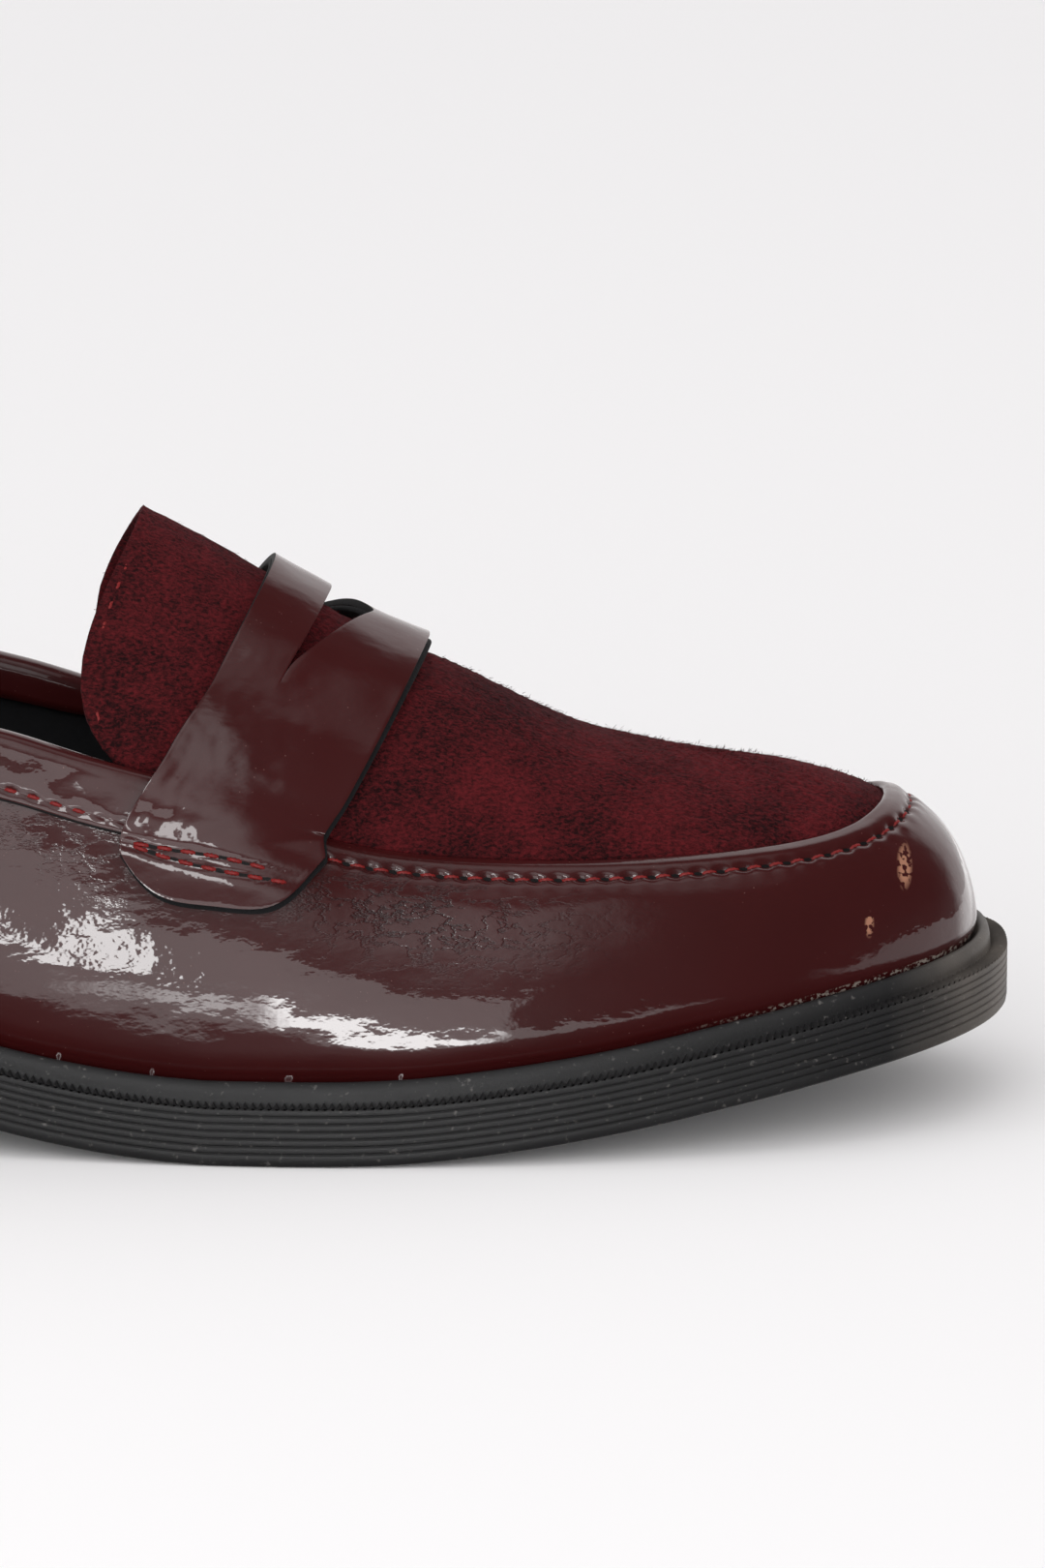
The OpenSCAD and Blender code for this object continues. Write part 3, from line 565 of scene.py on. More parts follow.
sock_rows = [(8.6, 0.1, 1), (8.6, 0.1, 0), (8.35, 0.5, 0), (8.35, 1.0, 0), (8.7, 1.35, 0), (9.3, SOCK_T, 0),
             (9.3, SOCK_T, 0.12), (9.3, SOCK_T, 0.35), (9.3, SOCK_T, 0.65), (9.3, SOCK_T, 1)]
sock_grid = loft(even_ring(180), [(inset, SOCK_H + h, share) for inset, h, share in sock_rows])
sock_grid[..., 2] += pad_rise(sock_grid[..., 0])
sock_liner = skin("sock_liner_cloth", sock_grid, ring=True)
sock_liner.data.materials.append(black_lining)
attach(sock_liner, "root")
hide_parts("sock_liner")

# ---- Wall ----
# One strip of burgundy patent leather round the whole shoe, about 1.3 mm thick. Its lower edge is
# lasted and cemented under the insole board; its upper edge is folded and sewn over the apron.
EDGE_BACK, EDGE_FRONT = 7, 246.3
EDGE_HEIGHT = [(7, 89), (20, 85.5), (40, 80.5), (60, 76.3), (80, 72.2), (103, 66.7), (115, 63), (126, 60),
               (138, 57), (148, 53), (158, 49.6), (170, 47.6), (185, 46.6), (205, 46.6), (222, 47.2),
               (234, 48), (241, 49.3), (246.3, 51.4)]
LATERAL_EDGE = [(45, 28.5), (75, 30.5), (103, 31), (126, 31), (145, 30.5), (160, 29.5), (180, 28.5)]
MEDIAL_EDGE = [(45, 27.5), (75, 27), (103, 27), (126, 28), (145, 28.5), (160, 28.5), (180, 28)]
FOOT_OUT = [(0, 2.5), (60, 2.5), (110, 1.5), (150, 0.5), (215, 0.3), (245, 0), (261, 0)]
FOOT_UP = [(0, 22), (60, 20), (110, 18), (150, 11), (215, 10), (245, 9), (261, 9)]
EDGE_OUT = [(0, 0.5), (60, 1), (110, 1.5), (130, 3.5), (150, 7), (170, 7.5), (220, 8.2), (261, 9.7)]
EDGE_DOWN = [(0, 22), (60, 20), (110, 18), (130, 9), (150, 4), (170, 3), (220, 3), (261, 3.5)]
PATENT_T = 1.3
STITCH_PITCH = 3.8
SEAM_IN = 4.0


def edge_y(s, side, table):
    """y of the wall's upper edge line at a station, on the outer (-1) or inner (1) side."""
    first, last = table[0], table[-1]
    back = side * first[1] * round_off((first[0] - s) / (first[0] - EDGE_BACK), 2.2)
    front = mix(TOE_TIP_Y, side * last[1], round_off((s - last[0]) / (EDGE_FRONT - last[0]), 2.35))
    return np.where(s < first[0], back, np.where(s > last[0], front, side * curve(table, s)))


def edge_station(u):
    """Station along the edge line; u runs as it does round the sole."""
    u = np.mod(u, 2)
    return mix(EDGE_BACK, EDGE_FRONT, (1 - np.cos(math.pi * np.where(u <= 1, u, 2 - u))) / 2)


def edge_share(s):
    """The u on the outer side of a station along the edge line."""
    return np.arccos(1 - 2 * (s - EDGE_BACK) / (EDGE_FRONT - EDGE_BACK)) / math.pi


def edge_point(u):
    s = edge_station(u)
    y = np.where(np.mod(u, 2) <= 1, edge_y(s, -1, LATERAL_EDGE), edge_y(s, 1, MEDIAL_EDGE))
    return np.stack([s, y, curve(EDGE_HEIGHT, s)], -1)


def wall(u, t):
    """The wall's outer surface; t runs 0 to 1 from the sole to the edge line."""
    foot = sole_point(u, np.full(np.shape(u), float(WELT_INSET)), FEATHER_H)
    edge = edge_point(u)
    n = np.concatenate([outline_normal(u), np.zeros(np.shape(u) + (1,))], -1)
    s = foot[..., :1]
    up = np.array([0, 0, 1.0])
    a = foot + n * curve(FOOT_OUT, s) + up * curve(FOOT_UP, s)
    b = edge + n * curve(EDGE_OUT, s) - up * curve(EDGE_DOWN, s)
    t = np.expand_dims(t, -1)
    return foot * (1 - t)**3 + a * 3 * t * (1 - t)**2 + b * 3 * t**2 * (1 - t) + edge * t**3


def wall_normal(u, t):
    along = wall(u + 0.003, t) - wall(u - 0.003, t)
    up = wall(u, np.minimum(1, t + 0.01)) - wall(u, np.maximum(0, t - 0.01))
    n = np.cross(along, up)
    return n / np.linalg.norm(n, axis=-1, keepdims=True)


def down_wall(u, distance):
    """The t that lies each distance (a row of the array) down the wall from the edge line."""
    t = np.linspace(1, 0, 121)
    p = wall(np.repeat(u[:, None], len(t), 1), np.repeat(t[None], len(u), 0))
    reach = np.cumsum(np.linalg.norm(np.diff(p, axis=1), axis=2), axis=1)
    reach = np.concatenate([np.zeros((len(u), 1)), reach], 1)
    return np.stack([np.interp(d, r, t) for d, r in zip(distance, reach)]), reach[:, -1]


def even_seam(first, last, count):
    """Even steps of u along the edge line."""
    fine = np.linspace(first, last, 3001)
    reach = length_along(edge_point(fine))
    return np.interp(np.linspace(0, reach[-1], count), reach, fine)


def bell(x, width):
    """1 at x = 0, falling to 0 over about twice the width."""
    return np.exp(-(x / width)**2)


def soft_noise(points, size_mm):
    """Smooth random values, about -1 to 1, at a grid of points; bumps are about size_mm wide."""
    return np.array([[noise.noise(Vector(p) / size_mm) for p in row] for row in points])


WALL_COLUMNS = 520
wall_q = even_seam(0, 1, WALL_COLUMNS)
wall_us = np.concatenate([wall_q, 2 - wall_q[-2:0:-1]])
_, wall_length = down_wall(wall_us, np.zeros((len(wall_us), 1)))
FINE_DISTANCES = np.array([8, 7.2, 6.5, 6, 5.5, 5.1, 4.7, 4.35, 4, 3.65, 3.3, 2.9, 2.4, 1.9, 1.4, 0.9,
                           0.45, 0])
coarse = 8 + (wall_length[:, None] - 8) * np.linspace(1, 0, 40)[None, :-1]
distance = np.concatenate([coarse, np.repeat(FINE_DISTANCES[None], len(wall_us), 0)], 1)
wall_t, _ = down_wall(wall_us, distance)
wall_u = np.repeat(wall_us[:, None], distance.shape[1], 1)
outer = wall(wall_u, wall_t)
outer_n = wall_normal(wall_u, wall_t)
station = edge_station(wall_us)[:, None]
in_front = smooth((station - 146) / 6)
seam_line = wall(wall_us, down_wall(wall_us, np.full((len(wall_us), 1), SEAM_IN))[0][:, 0])
seam_mm = length_along(seam_line)[:, None]
between = 0.5 - 0.5 * np.cos(2 * math.pi * seam_mm / STITCH_PITCH)
swell = 0.26 * bell(distance - 1.7, 1.1)
gutter = -bell(distance - SEAM_IN, 0.75) * (0.25 + 0.6 * (1 - between) ** 1.3)
pucker = 0.1 * bell(distance - 5.6, 1.0) * between
rounded = soft_noise(outer, 22)
at_toe = smooth((station - 195) / 40)
above_foot = wall_length[:, None] - distance
turned_under = -mix(1.2, 0.5, at_toe) * np.maximum(0, 1 - above_foot / mix(4.5, 2.2, at_toe)) ** 2
relief = in_front * (swell + gutter + pucker) + 0.35 * rounded * smooth((distance - 6) / 10) + turned_under
outer = outer + outer_n * relief[..., None]
fold_r = mix(0.65, 0.9, in_front)[..., None]
edge_n = outer_n[:, -1:, :]
inward = outer[:, -1:, :] - outer[:, -3:-2, :]
inward /= np.linalg.norm(inward, axis=-1, keepdims=True)
centre = outer[:, -1:, :] - edge_n * fold_r
turns = np.radians([25, 55, 90, 135, 180])[None, :, None]
fold = centre + fold_r * (edge_n * np.cos(turns) + inward * np.sin(turns))
inner_t = np.linspace(0.93, 0, 6)
inner_u = np.repeat(wall_us[:, None], len(inner_t), 1)
inner_t = np.repeat(inner_t[None], len(wall_us), 0)
inner = wall(inner_u, inner_t) - wall_normal(inner_u, inner_t) * PATENT_T
margin = [sole_point(wall_us, np.full(wall_us.shape, inset), h)[:, None]
          for inset, h in ((8.6, 11.05), (12, 11.05), (18.2, 11.05), (18.2, 9.76), (12, 9.75), (7.25, 9.75),
                           (6.25, 11))]
wall_grid = np.concatenate([outer, fold, inner] + margin, 1)
flexed = (0.95 * bell(station - 166, 22) * bell(distance - 12, 8)
          + 0.35 * bell(station - 116, 22) * bell(distance - 14, 6))
glue = bell(above_foot - 0.2, 0.55) * smooth((station - 160) / 70)
unmarked = np.zeros((len(wall_us), wall_grid.shape[1] - outer.shape[1]))
patent_wall = skin("patent_wall", wall_grid, ring=True, tube=True,
                   layers={"flexed": np.concatenate([flexed, unmarked], 1),
                           "glue": np.concatenate([glue, unmarked], 1)})


# Patent leather: split leather under a thick, clear polyurethane film over burgundy. The film gives
# sharp mirror reflections. Fine creases ripple them where the foot bends, and painted shade darkens
# the crease lines. Dust settles on it, cement has beaded along the toe's foot, and two knocks there
# went through to the tan split.
def patent_leather(name):
    patent, out = new_material(name)
    spot = add_node(patent, "ShaderNodeTexCoord")
    long_way = add_node(patent, "ShaderNodeMapping", inputs={"Scale": (0.55, 1.0, 1.25)},
                        links={"Vector": (spot, "Object")})
    textures = {}
    for use, kind, grain_mm, source, inputs in (
            ("cloud", "Noise", 28, (spot, "Object"), {"Detail": 3.0}),
            ("specks", "Voronoi", 1.5, (spot, "Object"), {}),
            ("gathered", "Noise", 11, (spot, "Object"), {"Detail": 2.0}),
            ("crinkle", "Noise", 3.4, (long_way, "Vector"), {"Detail": 4.0, "Roughness": 0.62}),
            ("blobs", "Noise", 0.7, (spot, "Object"), {"Detail": 3.0}),
            ("torn", "Noise", 1.0, (spot, "Object"), {"Detail": 3.0})):
        textures[use] = add_node(patent, "ShaderNodeTex" + kind,
                                 inputs={"Scale": 1 / (grain_mm * MM), **inputs}, links={"Vector": source})
    flexed = add_node(patent, "ShaderNodeAttribute", {"attribute_name": "flexed"})
    glue = add_node(patent, "ShaderNodeAttribute", {"attribute_name": "glue"})
    level = add_node(patent, "ShaderNodeMath", {"operation": "SUBTRACT"}, inputs={1: 0.52},
                     links={0: (textures["crinkle"], "Fac")})
    ridge = add_node(patent, "ShaderNodeMath", {"operation": "ABSOLUTE"}, links={0: (level, "Value")})
    ranged = {}
    for use, source, low, high, most in (
            ("speck", (textures["specks"], "Distance"), 0.085, 0.05, 1.0),
            ("gathered", (textures["gathered"], "Fac"), 0.45, 0.7, 0.5),
            ("crease", (ridge, "Value"), 0.045, 0.0, 1.0),
            ("blob", (textures["blobs"], "Fac"), 0.5, 0.58, 1.0),
            ("glue", (glue, "Fac"), 0.45, 0.85, 1.0),
            ("torn", (textures["torn"], "Fac"), 0.47, 0.5, 1.0)):
        node = add_node(patent, "ShaderNodeMapRange",
                        inputs={"From Min": low, "From Max": high, "To Max": most}, links={"Value": source})
        ranged[use] = (node, "Result")
    # The dark #220507 along the crease lines where the wall flexes is painted shade in the creases.
    masks = [("#a07670", ranged["speck"], ranged["gathered"]), ("#220507", ranged["crease"], (flexed, "Fac")),
             ("#b0a69b", ranged["blob"], ranged["glue"])]
    for x, y, z, size in ((0.115, -0.018, 0.043, 3.2), (0.109, -0.026, 0.035, 2.0)):
        away = add_node(patent, "ShaderNodeVectorMath", {"operation": "SUBTRACT"}, inputs={1: (x, y, z)},
                        links={0: (spot, "Object")})
        stretched = add_node(patent, "ShaderNodeMapping",
                             inputs={"Rotation": (0, math.radians(-28), 0), "Scale": (2.2, 0.3, 0.8)},
                             links={"Vector": (away, "Vector")})
        reach = add_node(patent, "ShaderNodeVectorMath", {"operation": "LENGTH"},
                         links={0: (stretched, "Vector")})
        inside = add_node(patent, "ShaderNodeMapRange",
                          inputs={"From Min": size * MM, "From Max": size * 0.55 * MM},
                          links={"Value": (reach, "Value")})
        masks.append(("#a5745c", (inside, "Result"), ranged["torn"]))
    tint = add_node(patent, "ShaderNodeMix", {"data_type": "RGBA"},
                    inputs={"A": hex_color("#370b0b"), "B": hex_color("#451112")},
                    links={"Factor": (textures["cloud"], "Fac")})
    for shade, first, second in masks:
        mask = add_node(patent, "ShaderNodeMath", {"operation": "MULTIPLY"}, links={0: first, 1: second})
        tint = add_node(patent, "ShaderNodeMix", {"data_type": "RGBA"}, inputs={"B": hex_color(shade)},
                        links={"Factor": (mask, "Value"), "A": (tint, "Result")})

    bump = None
    for grain_mm, stretch, detail, depth_mm in ((8, 0.45, 1.5, 0.55), (1.5, 0.6, 2.0, 0.07)):
        mapping = add_node(patent, "ShaderNodeMapping", inputs={"Scale": (stretch, 1, 1)},
                           links={"Vector": (spot, "Object")})
        height = add_node(patent, "ShaderNodeTexNoise",
                          inputs={"Scale": 1 / (grain_mm * MM), "Detail": detail},
                          links={"Vector": (mapping, "Vector")})
        below = {"Normal": (bump, "Normal")} if bump else {}
        bump = add_node(patent, "ShaderNodeBump", inputs={"Strength": 0.5, "Distance": depth_mm * MM},
                        links={"Height": (height, "Fac"), **below})
    crease = add_node(patent, "ShaderNodeMath", {"operation": "MULTIPLY"},
                      links={0: ranged["crease"], 1: (flexed, "Fac")})
    creased = add_node(patent, "ShaderNodeBump", {"invert": True},
                       inputs={"Strength": 0.4, "Distance": 0.1 * MM},
                       links={"Height": (crease, "Value"), "Normal": (bump, "Normal")})
    shader = add_node(patent, "ShaderNodeBsdfPrincipled",
                      inputs={"Roughness": 0.4, "IOR": 1.45, "Specular IOR Level": 0.2, "Coat Weight": 1.0,
                              "Coat Roughness": 0.015, "Coat IOR": 1.55},
                      links={"Base Color": (tint, "Result"), "Normal": (creased, "Normal"),
                             "Coat Normal": (creased, "Normal")})
    surface(patent, out, shader)
    return patent


burgundy_patent = patent_leather("burgundy_patent_leather")
patent_wall.data.materials.append(burgundy_patent)
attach(patent_wall, "root")
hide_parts("vamp_wall")

# ---- Linings ----
# Black cloth lining in two parts, butted under the strap, over a hidden toe puff and heel counter.
STIFFENER_T = 0.8
LINING_T = 0.8
BUTT_U = edge_share(118)


def stiffening(u):
    """Thickness of the toe puff or heel counter under the lining."""
    s = edge_station(u)
    return np.maximum(0.15, STIFFENER_T * np.maximum(smooth((s - 205) / 18), smooth((62 - s) / 18)))


def grid_normals(points):
    """Unit normals of a grid of points, row direction crossed with column direction."""
    n = np.cross(np.gradient(points, axis=0), np.gradient(points, axis=1))
    return n / np.maximum(1e-9, np.linalg.norm(n, axis=-1, keepdims=True))


def sheet(piece, thickness, rim_slot=0, rounding=0.0):
    """Gives a skin its thickness on the inner side, with an optional rounded rim."""
    solid = piece.modifiers.new("thickness", "SOLIDIFY")
    solid.thickness = thickness * MM
    solid.offset = -1
    solid.material_offset_rim = rim_slot
    if rounding:
        bevel = piece.modifiers.new("rounding", "BEVEL")
        bevel.width = rounding * MM
        bevel.segments = 3
        bevel.limit_method = "ANGLE"
        bevel.angle_limit = math.radians(50)
        bevel.profile = 0.5
        bevel.material = -1


def over_wall(us, ts, depth):
    """Grid of points a depth under the wall's outer surface."""
    u, t = np.meshgrid(us, ts, indexing="ij")
    return wall(u, t) - wall_normal(u, t) * np.broadcast_to(depth, u.shape)[..., None]


for node, first, last, top, rows in (("vamp_lining", BUTT_U, 2 - BUTT_U, 0.8, 260),
                                     ("quarter_lining", -BUTT_U, BUTT_U, 1.0, 220)):
    us = np.linspace(first, last, rows)
    grid = over_wall(us, np.linspace(0, top, 40), PATENT_T + 0.1 + stiffening(us)[:, None])
    ripple = (soft_noise(grid, 14) + 0.5) * smooth(np.linspace(0, 5, 40))
    grid = grid - 0.3 * ripple[..., None] * grid_normals(grid)
    lining = skin(node + "_cloth", grid)
    lining.data.materials.append(black_lining)
    sheet(lining, LINING_T)
    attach(lining, "root")
    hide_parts(node)

# ---- Apron and tongue ----
# One piece of burgundy microfibre with a brushed suede nap, about 1.2 mm thick. It laps under the
# wall's folded edge all round, and its rear end stands free as the tongue, lined with black cloth.
RIDGE_HEIGHT = [(124, 99.2), (135, 93.4), (143, 88.6), (151, 84), (158, 80), (166, 76.2), (174, 72.8),
                (182, 68.8), (190, 64.8), (197, 61.6), (205, 59.6), (213, 58.2), (221, 57.3), (229, 56.2),
                (237, 54.6), (242, 53.2), (246.3, 51.4)]
RIDGE_STATION = [(125.5, 124), (132, 142), (140, 154), (160, 172), (180, 189), (200, 203), (220, 211),
                 (246.3, 216)]
TONGUE_STATION = 125.5
TONGUE_BOW = 9.9
SUEDE_T = 1.2


def apron(u, v, tuck=1.35):
    """The apron's outer surface; v runs 0 to 1 from the edge line to the ridge on each side."""
    foot = wall(u, np.ones(np.shape(u))) - tuck * wall_normal(u, np.ones(np.shape(u)))
    s = edge_station(u)
    r = curve(RIDGE_STATION, s)
    top_y, top_z = TOE_TIP_Y / 2 * smooth((r - 170) / 60), curve(RIDGE_HEIGHT, r)
    fan = smooth((s - 190) / 50)
    spread = mix(1.85 + 0.35 * smooth((s - 140) / 60), 1.55, fan)
    rise = mix(1.62, 1.4, fan)
    w = np.maximum(0, np.cos(math.pi / 2 * v)) ** (2 / spread)
    h = np.sin(math.pi / 2 * v) ** (2 / rise)
    bow = TONGUE_BOW * np.maximum(0, 1 - (s - TONGUE_STATION) / 14) ** 1.5
    x = mix(mix(foot[..., 0], r, h), mix(r, foot[..., 0], w), fan)
    x = x - bow * np.sin(math.pi * np.minimum(1, h) ** 0.75)
    return np.stack([x, mix(top_y, foot[..., 1], w), mix(foot[..., 2], top_z, h)], -1)


def apron_grid(us, vs, lap=()):
    """Rows from the tongue to the toe, each across from lateral to medial, with optional laps."""
    sides = []
    for side_us in (us, 2 - us):
        grid_u, grid_v = np.meshgrid(side_us, vs, indexing="ij")
        rise = apron(grid_u, grid_v, 1.9)
        if len(lap):
            t, _ = down_wall(side_us, np.repeat(np.array([lap]), len(us), 0))
            lap_u = np.repeat(side_us[:, None], len(lap), 1)
            tuck = mix(1.9, 1.4, smooth(np.array(lap) / 5))[None, :, None]
            rise = np.concatenate([wall(lap_u, t) - wall_normal(lap_u, t) * tuck, rise], 1)
        sides.append(rise)
    return np.concatenate([sides[0], sides[1][:, -2::-1]], 1)


apron_us = even_seam(edge_share(TONGUE_STATION), 1, 210)
apron_vs = np.concatenate([np.linspace(0, 0.2, 20)[:-1], np.linspace(0.2, 1, 72)])
suede_grid = apron_grid(apron_us, apron_vs, lap=(7, 5, 3.2, 1.6, 0.6))
suede_n = grid_normals(suede_grid)
fold_share = smooth((1 - apron_us) / 0.03)[:, None]
sway = soft_noise(suede_grid, 17)
nap = soft_noise(suede_grid, 1.5) + 1.3 * soft_noise(suede_grid, 0.7)
edge_fade = smooth((np.arange(suede_grid.shape[1]) - 6) / 6)
edge_fade = np.minimum(edge_fade, edge_fade[::-1])[None]
suede_grid = suede_grid + suede_n * ((0.35 * sway + 0.15 * nap) * edge_fade * fold_share)[..., None]
apron_tongue = skin("apron_and_tongue", suede_grid)

# The nap's longest fibres stand out of it, leaning along the brushed direction.
NAP_FIBRES = 9000
dice = np.random.default_rng(7)
rows = dice.integers(0, suede_grid.shape[0] - 4, NAP_FIBRES)
columns = dice.integers(7, suede_grid.shape[1] - 7, NAP_FIBRES)
root = suede_grid[rows, columns] + dice.normal(0, 0.18, (NAP_FIBRES, 3))
brush = suede_grid[rows + 1, columns] - suede_grid[rows, columns]
brush /= np.linalg.norm(brush, axis=-1, keepdims=True)
lean = brush + 0.55 * suede_n[rows, columns] + dice.normal(0, 0.35, (NAP_FIBRES, 3))
lean_by_one = lean / np.linalg.norm(lean, axis=-1, keepdims=True)
tip = root + lean_by_one * dice.uniform(0.4, 0.85, (NAP_FIBRES, 1))
breadth = np.cross(lean, suede_n[rows, columns] + dice.normal(0, 0.4, (NAP_FIBRES, 3)))
breadth *= 0.05 / np.linalg.norm(breadth, axis=-1, keepdims=True)
corners = place(np.stack([root - breadth, root + breadth, tip - breadth * 0.4, tip + breadth * 0.4], 1))
bm = bmesh.new()
bmesh.ops.create_grid(bm, x_segments=2 * NAP_FIBRES - 1, y_segments=1, size=0.5)
bm.verts.index_update()
side = [round((v.co.x + 0.5) * (2 * NAP_FIBRES - 1)) for v in bm.verts]
between_fibres = [f for f in bm.faces if min(side[v.index] for v in f.verts) % 2]
for v in bm.verts:
    v.co = corners[side[v.index] // 2, 2 * (v.co.y > 0) + side[v.index] % 2]
bmesh.ops.delete(bm, geom=between_fibres, context="FACES")
suede_nap = new_object("suede_nap_fibres", bm)


# Suede-finish microfibre: a short nap brushed along the shoe, darker and lighter where stroked.
def brushed_suede(name):
    suede, out = new_material(name)
    spot = add_node(suede, "ShaderNodeTexCoord")
    patches = add_node(suede, "ShaderNodeTexNoise",
                       inputs={"Scale": 1 / (15 * MM), "Detail": 4.0, "Roughness": 0.55},
                       links={"Vector": (spot, "Object")})
    brushed = add_node(suede, "ShaderNodeMapping", inputs={"Scale": (0.6, 1.0, 1.0)},
                       links={"Vector": (spot, "Object")})
    fibres = add_node(suede, "ShaderNodeTexNoise",
                      inputs={"Scale": 1 / (0.5 * MM), "Detail": 4.0, "Roughness": 0.65, "Distortion": 0.4},
                      links={"Vector": (brushed, "Vector")})
    patch_tone = add_node(suede, "ShaderNodeMapRange",
                          inputs={"From Min": 0.35, "From Max": 0.65, "To Min": -0.25, "To Max": 0.25},
                          links={"Value": (patches, "Fac")})
    fibre_tone = add_node(suede, "ShaderNodeMapRange", inputs={"From Min": 0.35, "From Max": 0.68},
                          links={"Value": (fibres, "Fac")})
    tone = add_node(suede, "ShaderNodeMath", {"operation": "ADD", "use_clamp": True},
                    links={0: (fibre_tone, "Result"), 1: (patch_tone, "Result")})
    tint = add_node(suede, "ShaderNodeMix", {"data_type": "RGBA"},
                    inputs={"A": hex_color("#1e0507"), "B": hex_color("#5d161b")},
                    links={"Factor": (tone, "Value")})
    bump = add_node(suede, "ShaderNodeBump", inputs={"Strength": 0.9, "Distance": 0.3 * MM},
                    links={"Height": (fibres, "Fac")})
    shader = add_node(suede, "ShaderNodeBsdfPrincipled",
                      inputs={"Roughness": 0.95, "IOR": 1.4, "Specular IOR Level": 0.2, "Sheen Weight": 0.12,
                              "Sheen Roughness": 0.4, "Sheen Tint": hex_color("#c9707a")},
                      links={"Base Color": (tint, "Result"), "Normal": (bump, "Normal")})
    surface(suede, out, shader)
    return suede


burgundy_suede = brushed_suede("burgundy_suede_microfibre")
apron_tongue.data.materials.append(burgundy_suede)
suede_nap.data.materials.append(burgundy_suede)
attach(suede_nap, "root")
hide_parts("apron_tongue")
sheet(apron_tongue, SUEDE_T)
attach(apron_tongue, "root")
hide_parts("apron_tongue")

under_us = np.linspace(edge_share(TONGUE_STATION) + 0.0015, 1, 90)
under_grid = apron_grid(under_us, np.linspace(0.08, 1, 40))
under_grid = under_grid - (SUEDE_T + 0.15) * grid_normals(under_grid)
tongue_lining = skin("tongue_lining_cloth", under_grid)
tongue_lining.data.materials.append(black_lining)
sheet(tongue_lining, LINING_T)
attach(tongue_lining, "root")
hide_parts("tongue_lining")

# ---- Back strip and collar binding ----
# A narrow strip of the patent leather covers the heel seam, and a folded binding of it closes the
# topline from one end of the strap round the heel to the other. Its cut edges stay black.
COLLAR_H = 9.5
COLLAR_T = 0.9
cut_edge, out = new_material("black_cut_leather_edge")
spot = add_node(cut_edge, "ShaderNodeTexCoord")
fibre = add_node(cut_edge, "ShaderNodeTexNoise", inputs={"Scale": 1 / (0.5 * MM), "Detail": 4.0},
                 links={"Vector": (spot, "Object")})
bump = add_node(cut_edge, "ShaderNodeBump", inputs={"Strength": 0.5, "Distance": 0.1 * MM},
                links={"Height": (fibre, "Fac")})
surface(cut_edge, out, add_node(cut_edge, "ShaderNodeBsdfPrincipled",
                                inputs={"Base Color": hex_color("#131113"), "Roughness": 0.7},
                                links={"Normal": (bump, "Normal")}))

STRIP_EDGE = 7.9
strip_us = np.linspace(-edge_share(STRIP_EDGE), edge_share(STRIP_EDGE), 24)
back_strip = skin("back_strip_patent", over_wall(strip_us, np.linspace(0, 0.82, 90), -1.05))
back_strip.data.materials.append(burgundy_patent)
back_strip.data.materials.append(cut_edge)
sheet(back_strip, 1.0, rim_slot=1, rounding=0.25)
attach(back_strip, "root")
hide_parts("back_strip")

BINDING_END = 142
BINDING_STEPS = 420
binding_us = even_seam(-edge_share(BINDING_END), edge_share(BINDING_END), BINDING_STEPS)
collar_line = wall(binding_us, down_wall(binding_us, np.full((BINDING_STEPS, 1), COLLAR_H - 2))[0][:, 0])
collar_mm = length_along(collar_line)[:, None]
collar_between = 0.5 - 0.5 * np.cos(2 * math.pi * collar_mm / STITCH_PITCH)
inner_side = -(PATENT_T + LINING_T + STIFFENER_T + 0.3)
roll_r = (COLLAR_T - inner_side + COLLAR_T) / 2
binding_rows = np.array([(9.5, 0.02), (9.62, 0.25), (9.55, 0.62), (9.2, 0.88), (8.6, 0.93), (8.1, 0.92),
                         (7.7, 0.86), (7.5, 0.82), (7.3, 0.86), (6.9, 0.94), (6.2, 1.0), (5.2, 1.02),
                         (4.0, 1.02), (2.8, 1.0), (1.8, 0.96), (1.0, 0.92)])
depth = np.repeat(binding_rows[None, :, 0], BINDING_STEPS, 0)
waved = soft_noise(np.stack([collar_mm * 0.16 + depth * 0, depth * 0.3, depth * 0], -1), 1)
puckered = bell(depth - 7.5, 0.6) * (1 - collar_between) ** 1.5
outset = binding_rows[None, :, 1] + 0.22 * waved * smooth((7 - depth) / 2) - 0.2 * puckered
binding_t, _ = down_wall(binding_us, depth)
binding_u = np.repeat(binding_us[:, None], depth.shape[1], 1)
outside = wall(binding_u, binding_t) + wall_normal(binding_u, binding_t) * outset[..., None]
on_edge = np.ones((BINDING_STEPS, 1))
top_n = wall_normal(binding_us[:, None], on_edge)
top_p = wall(binding_us[:, None], on_edge)
roll = np.radians([15, 40, 65, 90, 115, 140, 165])[None, :, None]
roll_centre = top_p + top_n * (COLLAR_T - roll_r)
rolled = roll_centre + roll_r * top_n * np.cos(roll) + np.array([0, 0, 1.9]) * np.sin(roll)
inside = over_wall(binding_us, np.array([0.985, 0.96, 0.93, 0.9]), -(inner_side - COLLAR_T))
inside_back = over_wall(binding_us, np.array([0.9, 0.94, 0.99]), -inner_side)
under = over_wall(binding_us, np.array([0.99, 0.97]), -0.05)
binding_grid = np.concatenate([outside, rolled, inside, inside_back, under], 1)
binding = skin("collar_binding_patent", binding_grid, tube=True, cut=(0, 1, 2, binding_grid.shape[1] - 1))
binding.data.materials.append(burgundy_patent)
binding.data.materials.append(cut_edge)
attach(binding, "root")
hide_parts("collar_binding")

# ---- Strap ----
# A strap of patent leather over the instep, backed with black cloth and slotted on top. Its tabs
# are sewn to the wall with two curved rows; between them it stands a little off the apron.
STRAP_T = 1.25
BACKING_T = 0.95
STRAP_REAR = 125.5
STRAP_FRONT = 153
TAB_LOWEST = 0.38
SLOT_FROM = 1.49


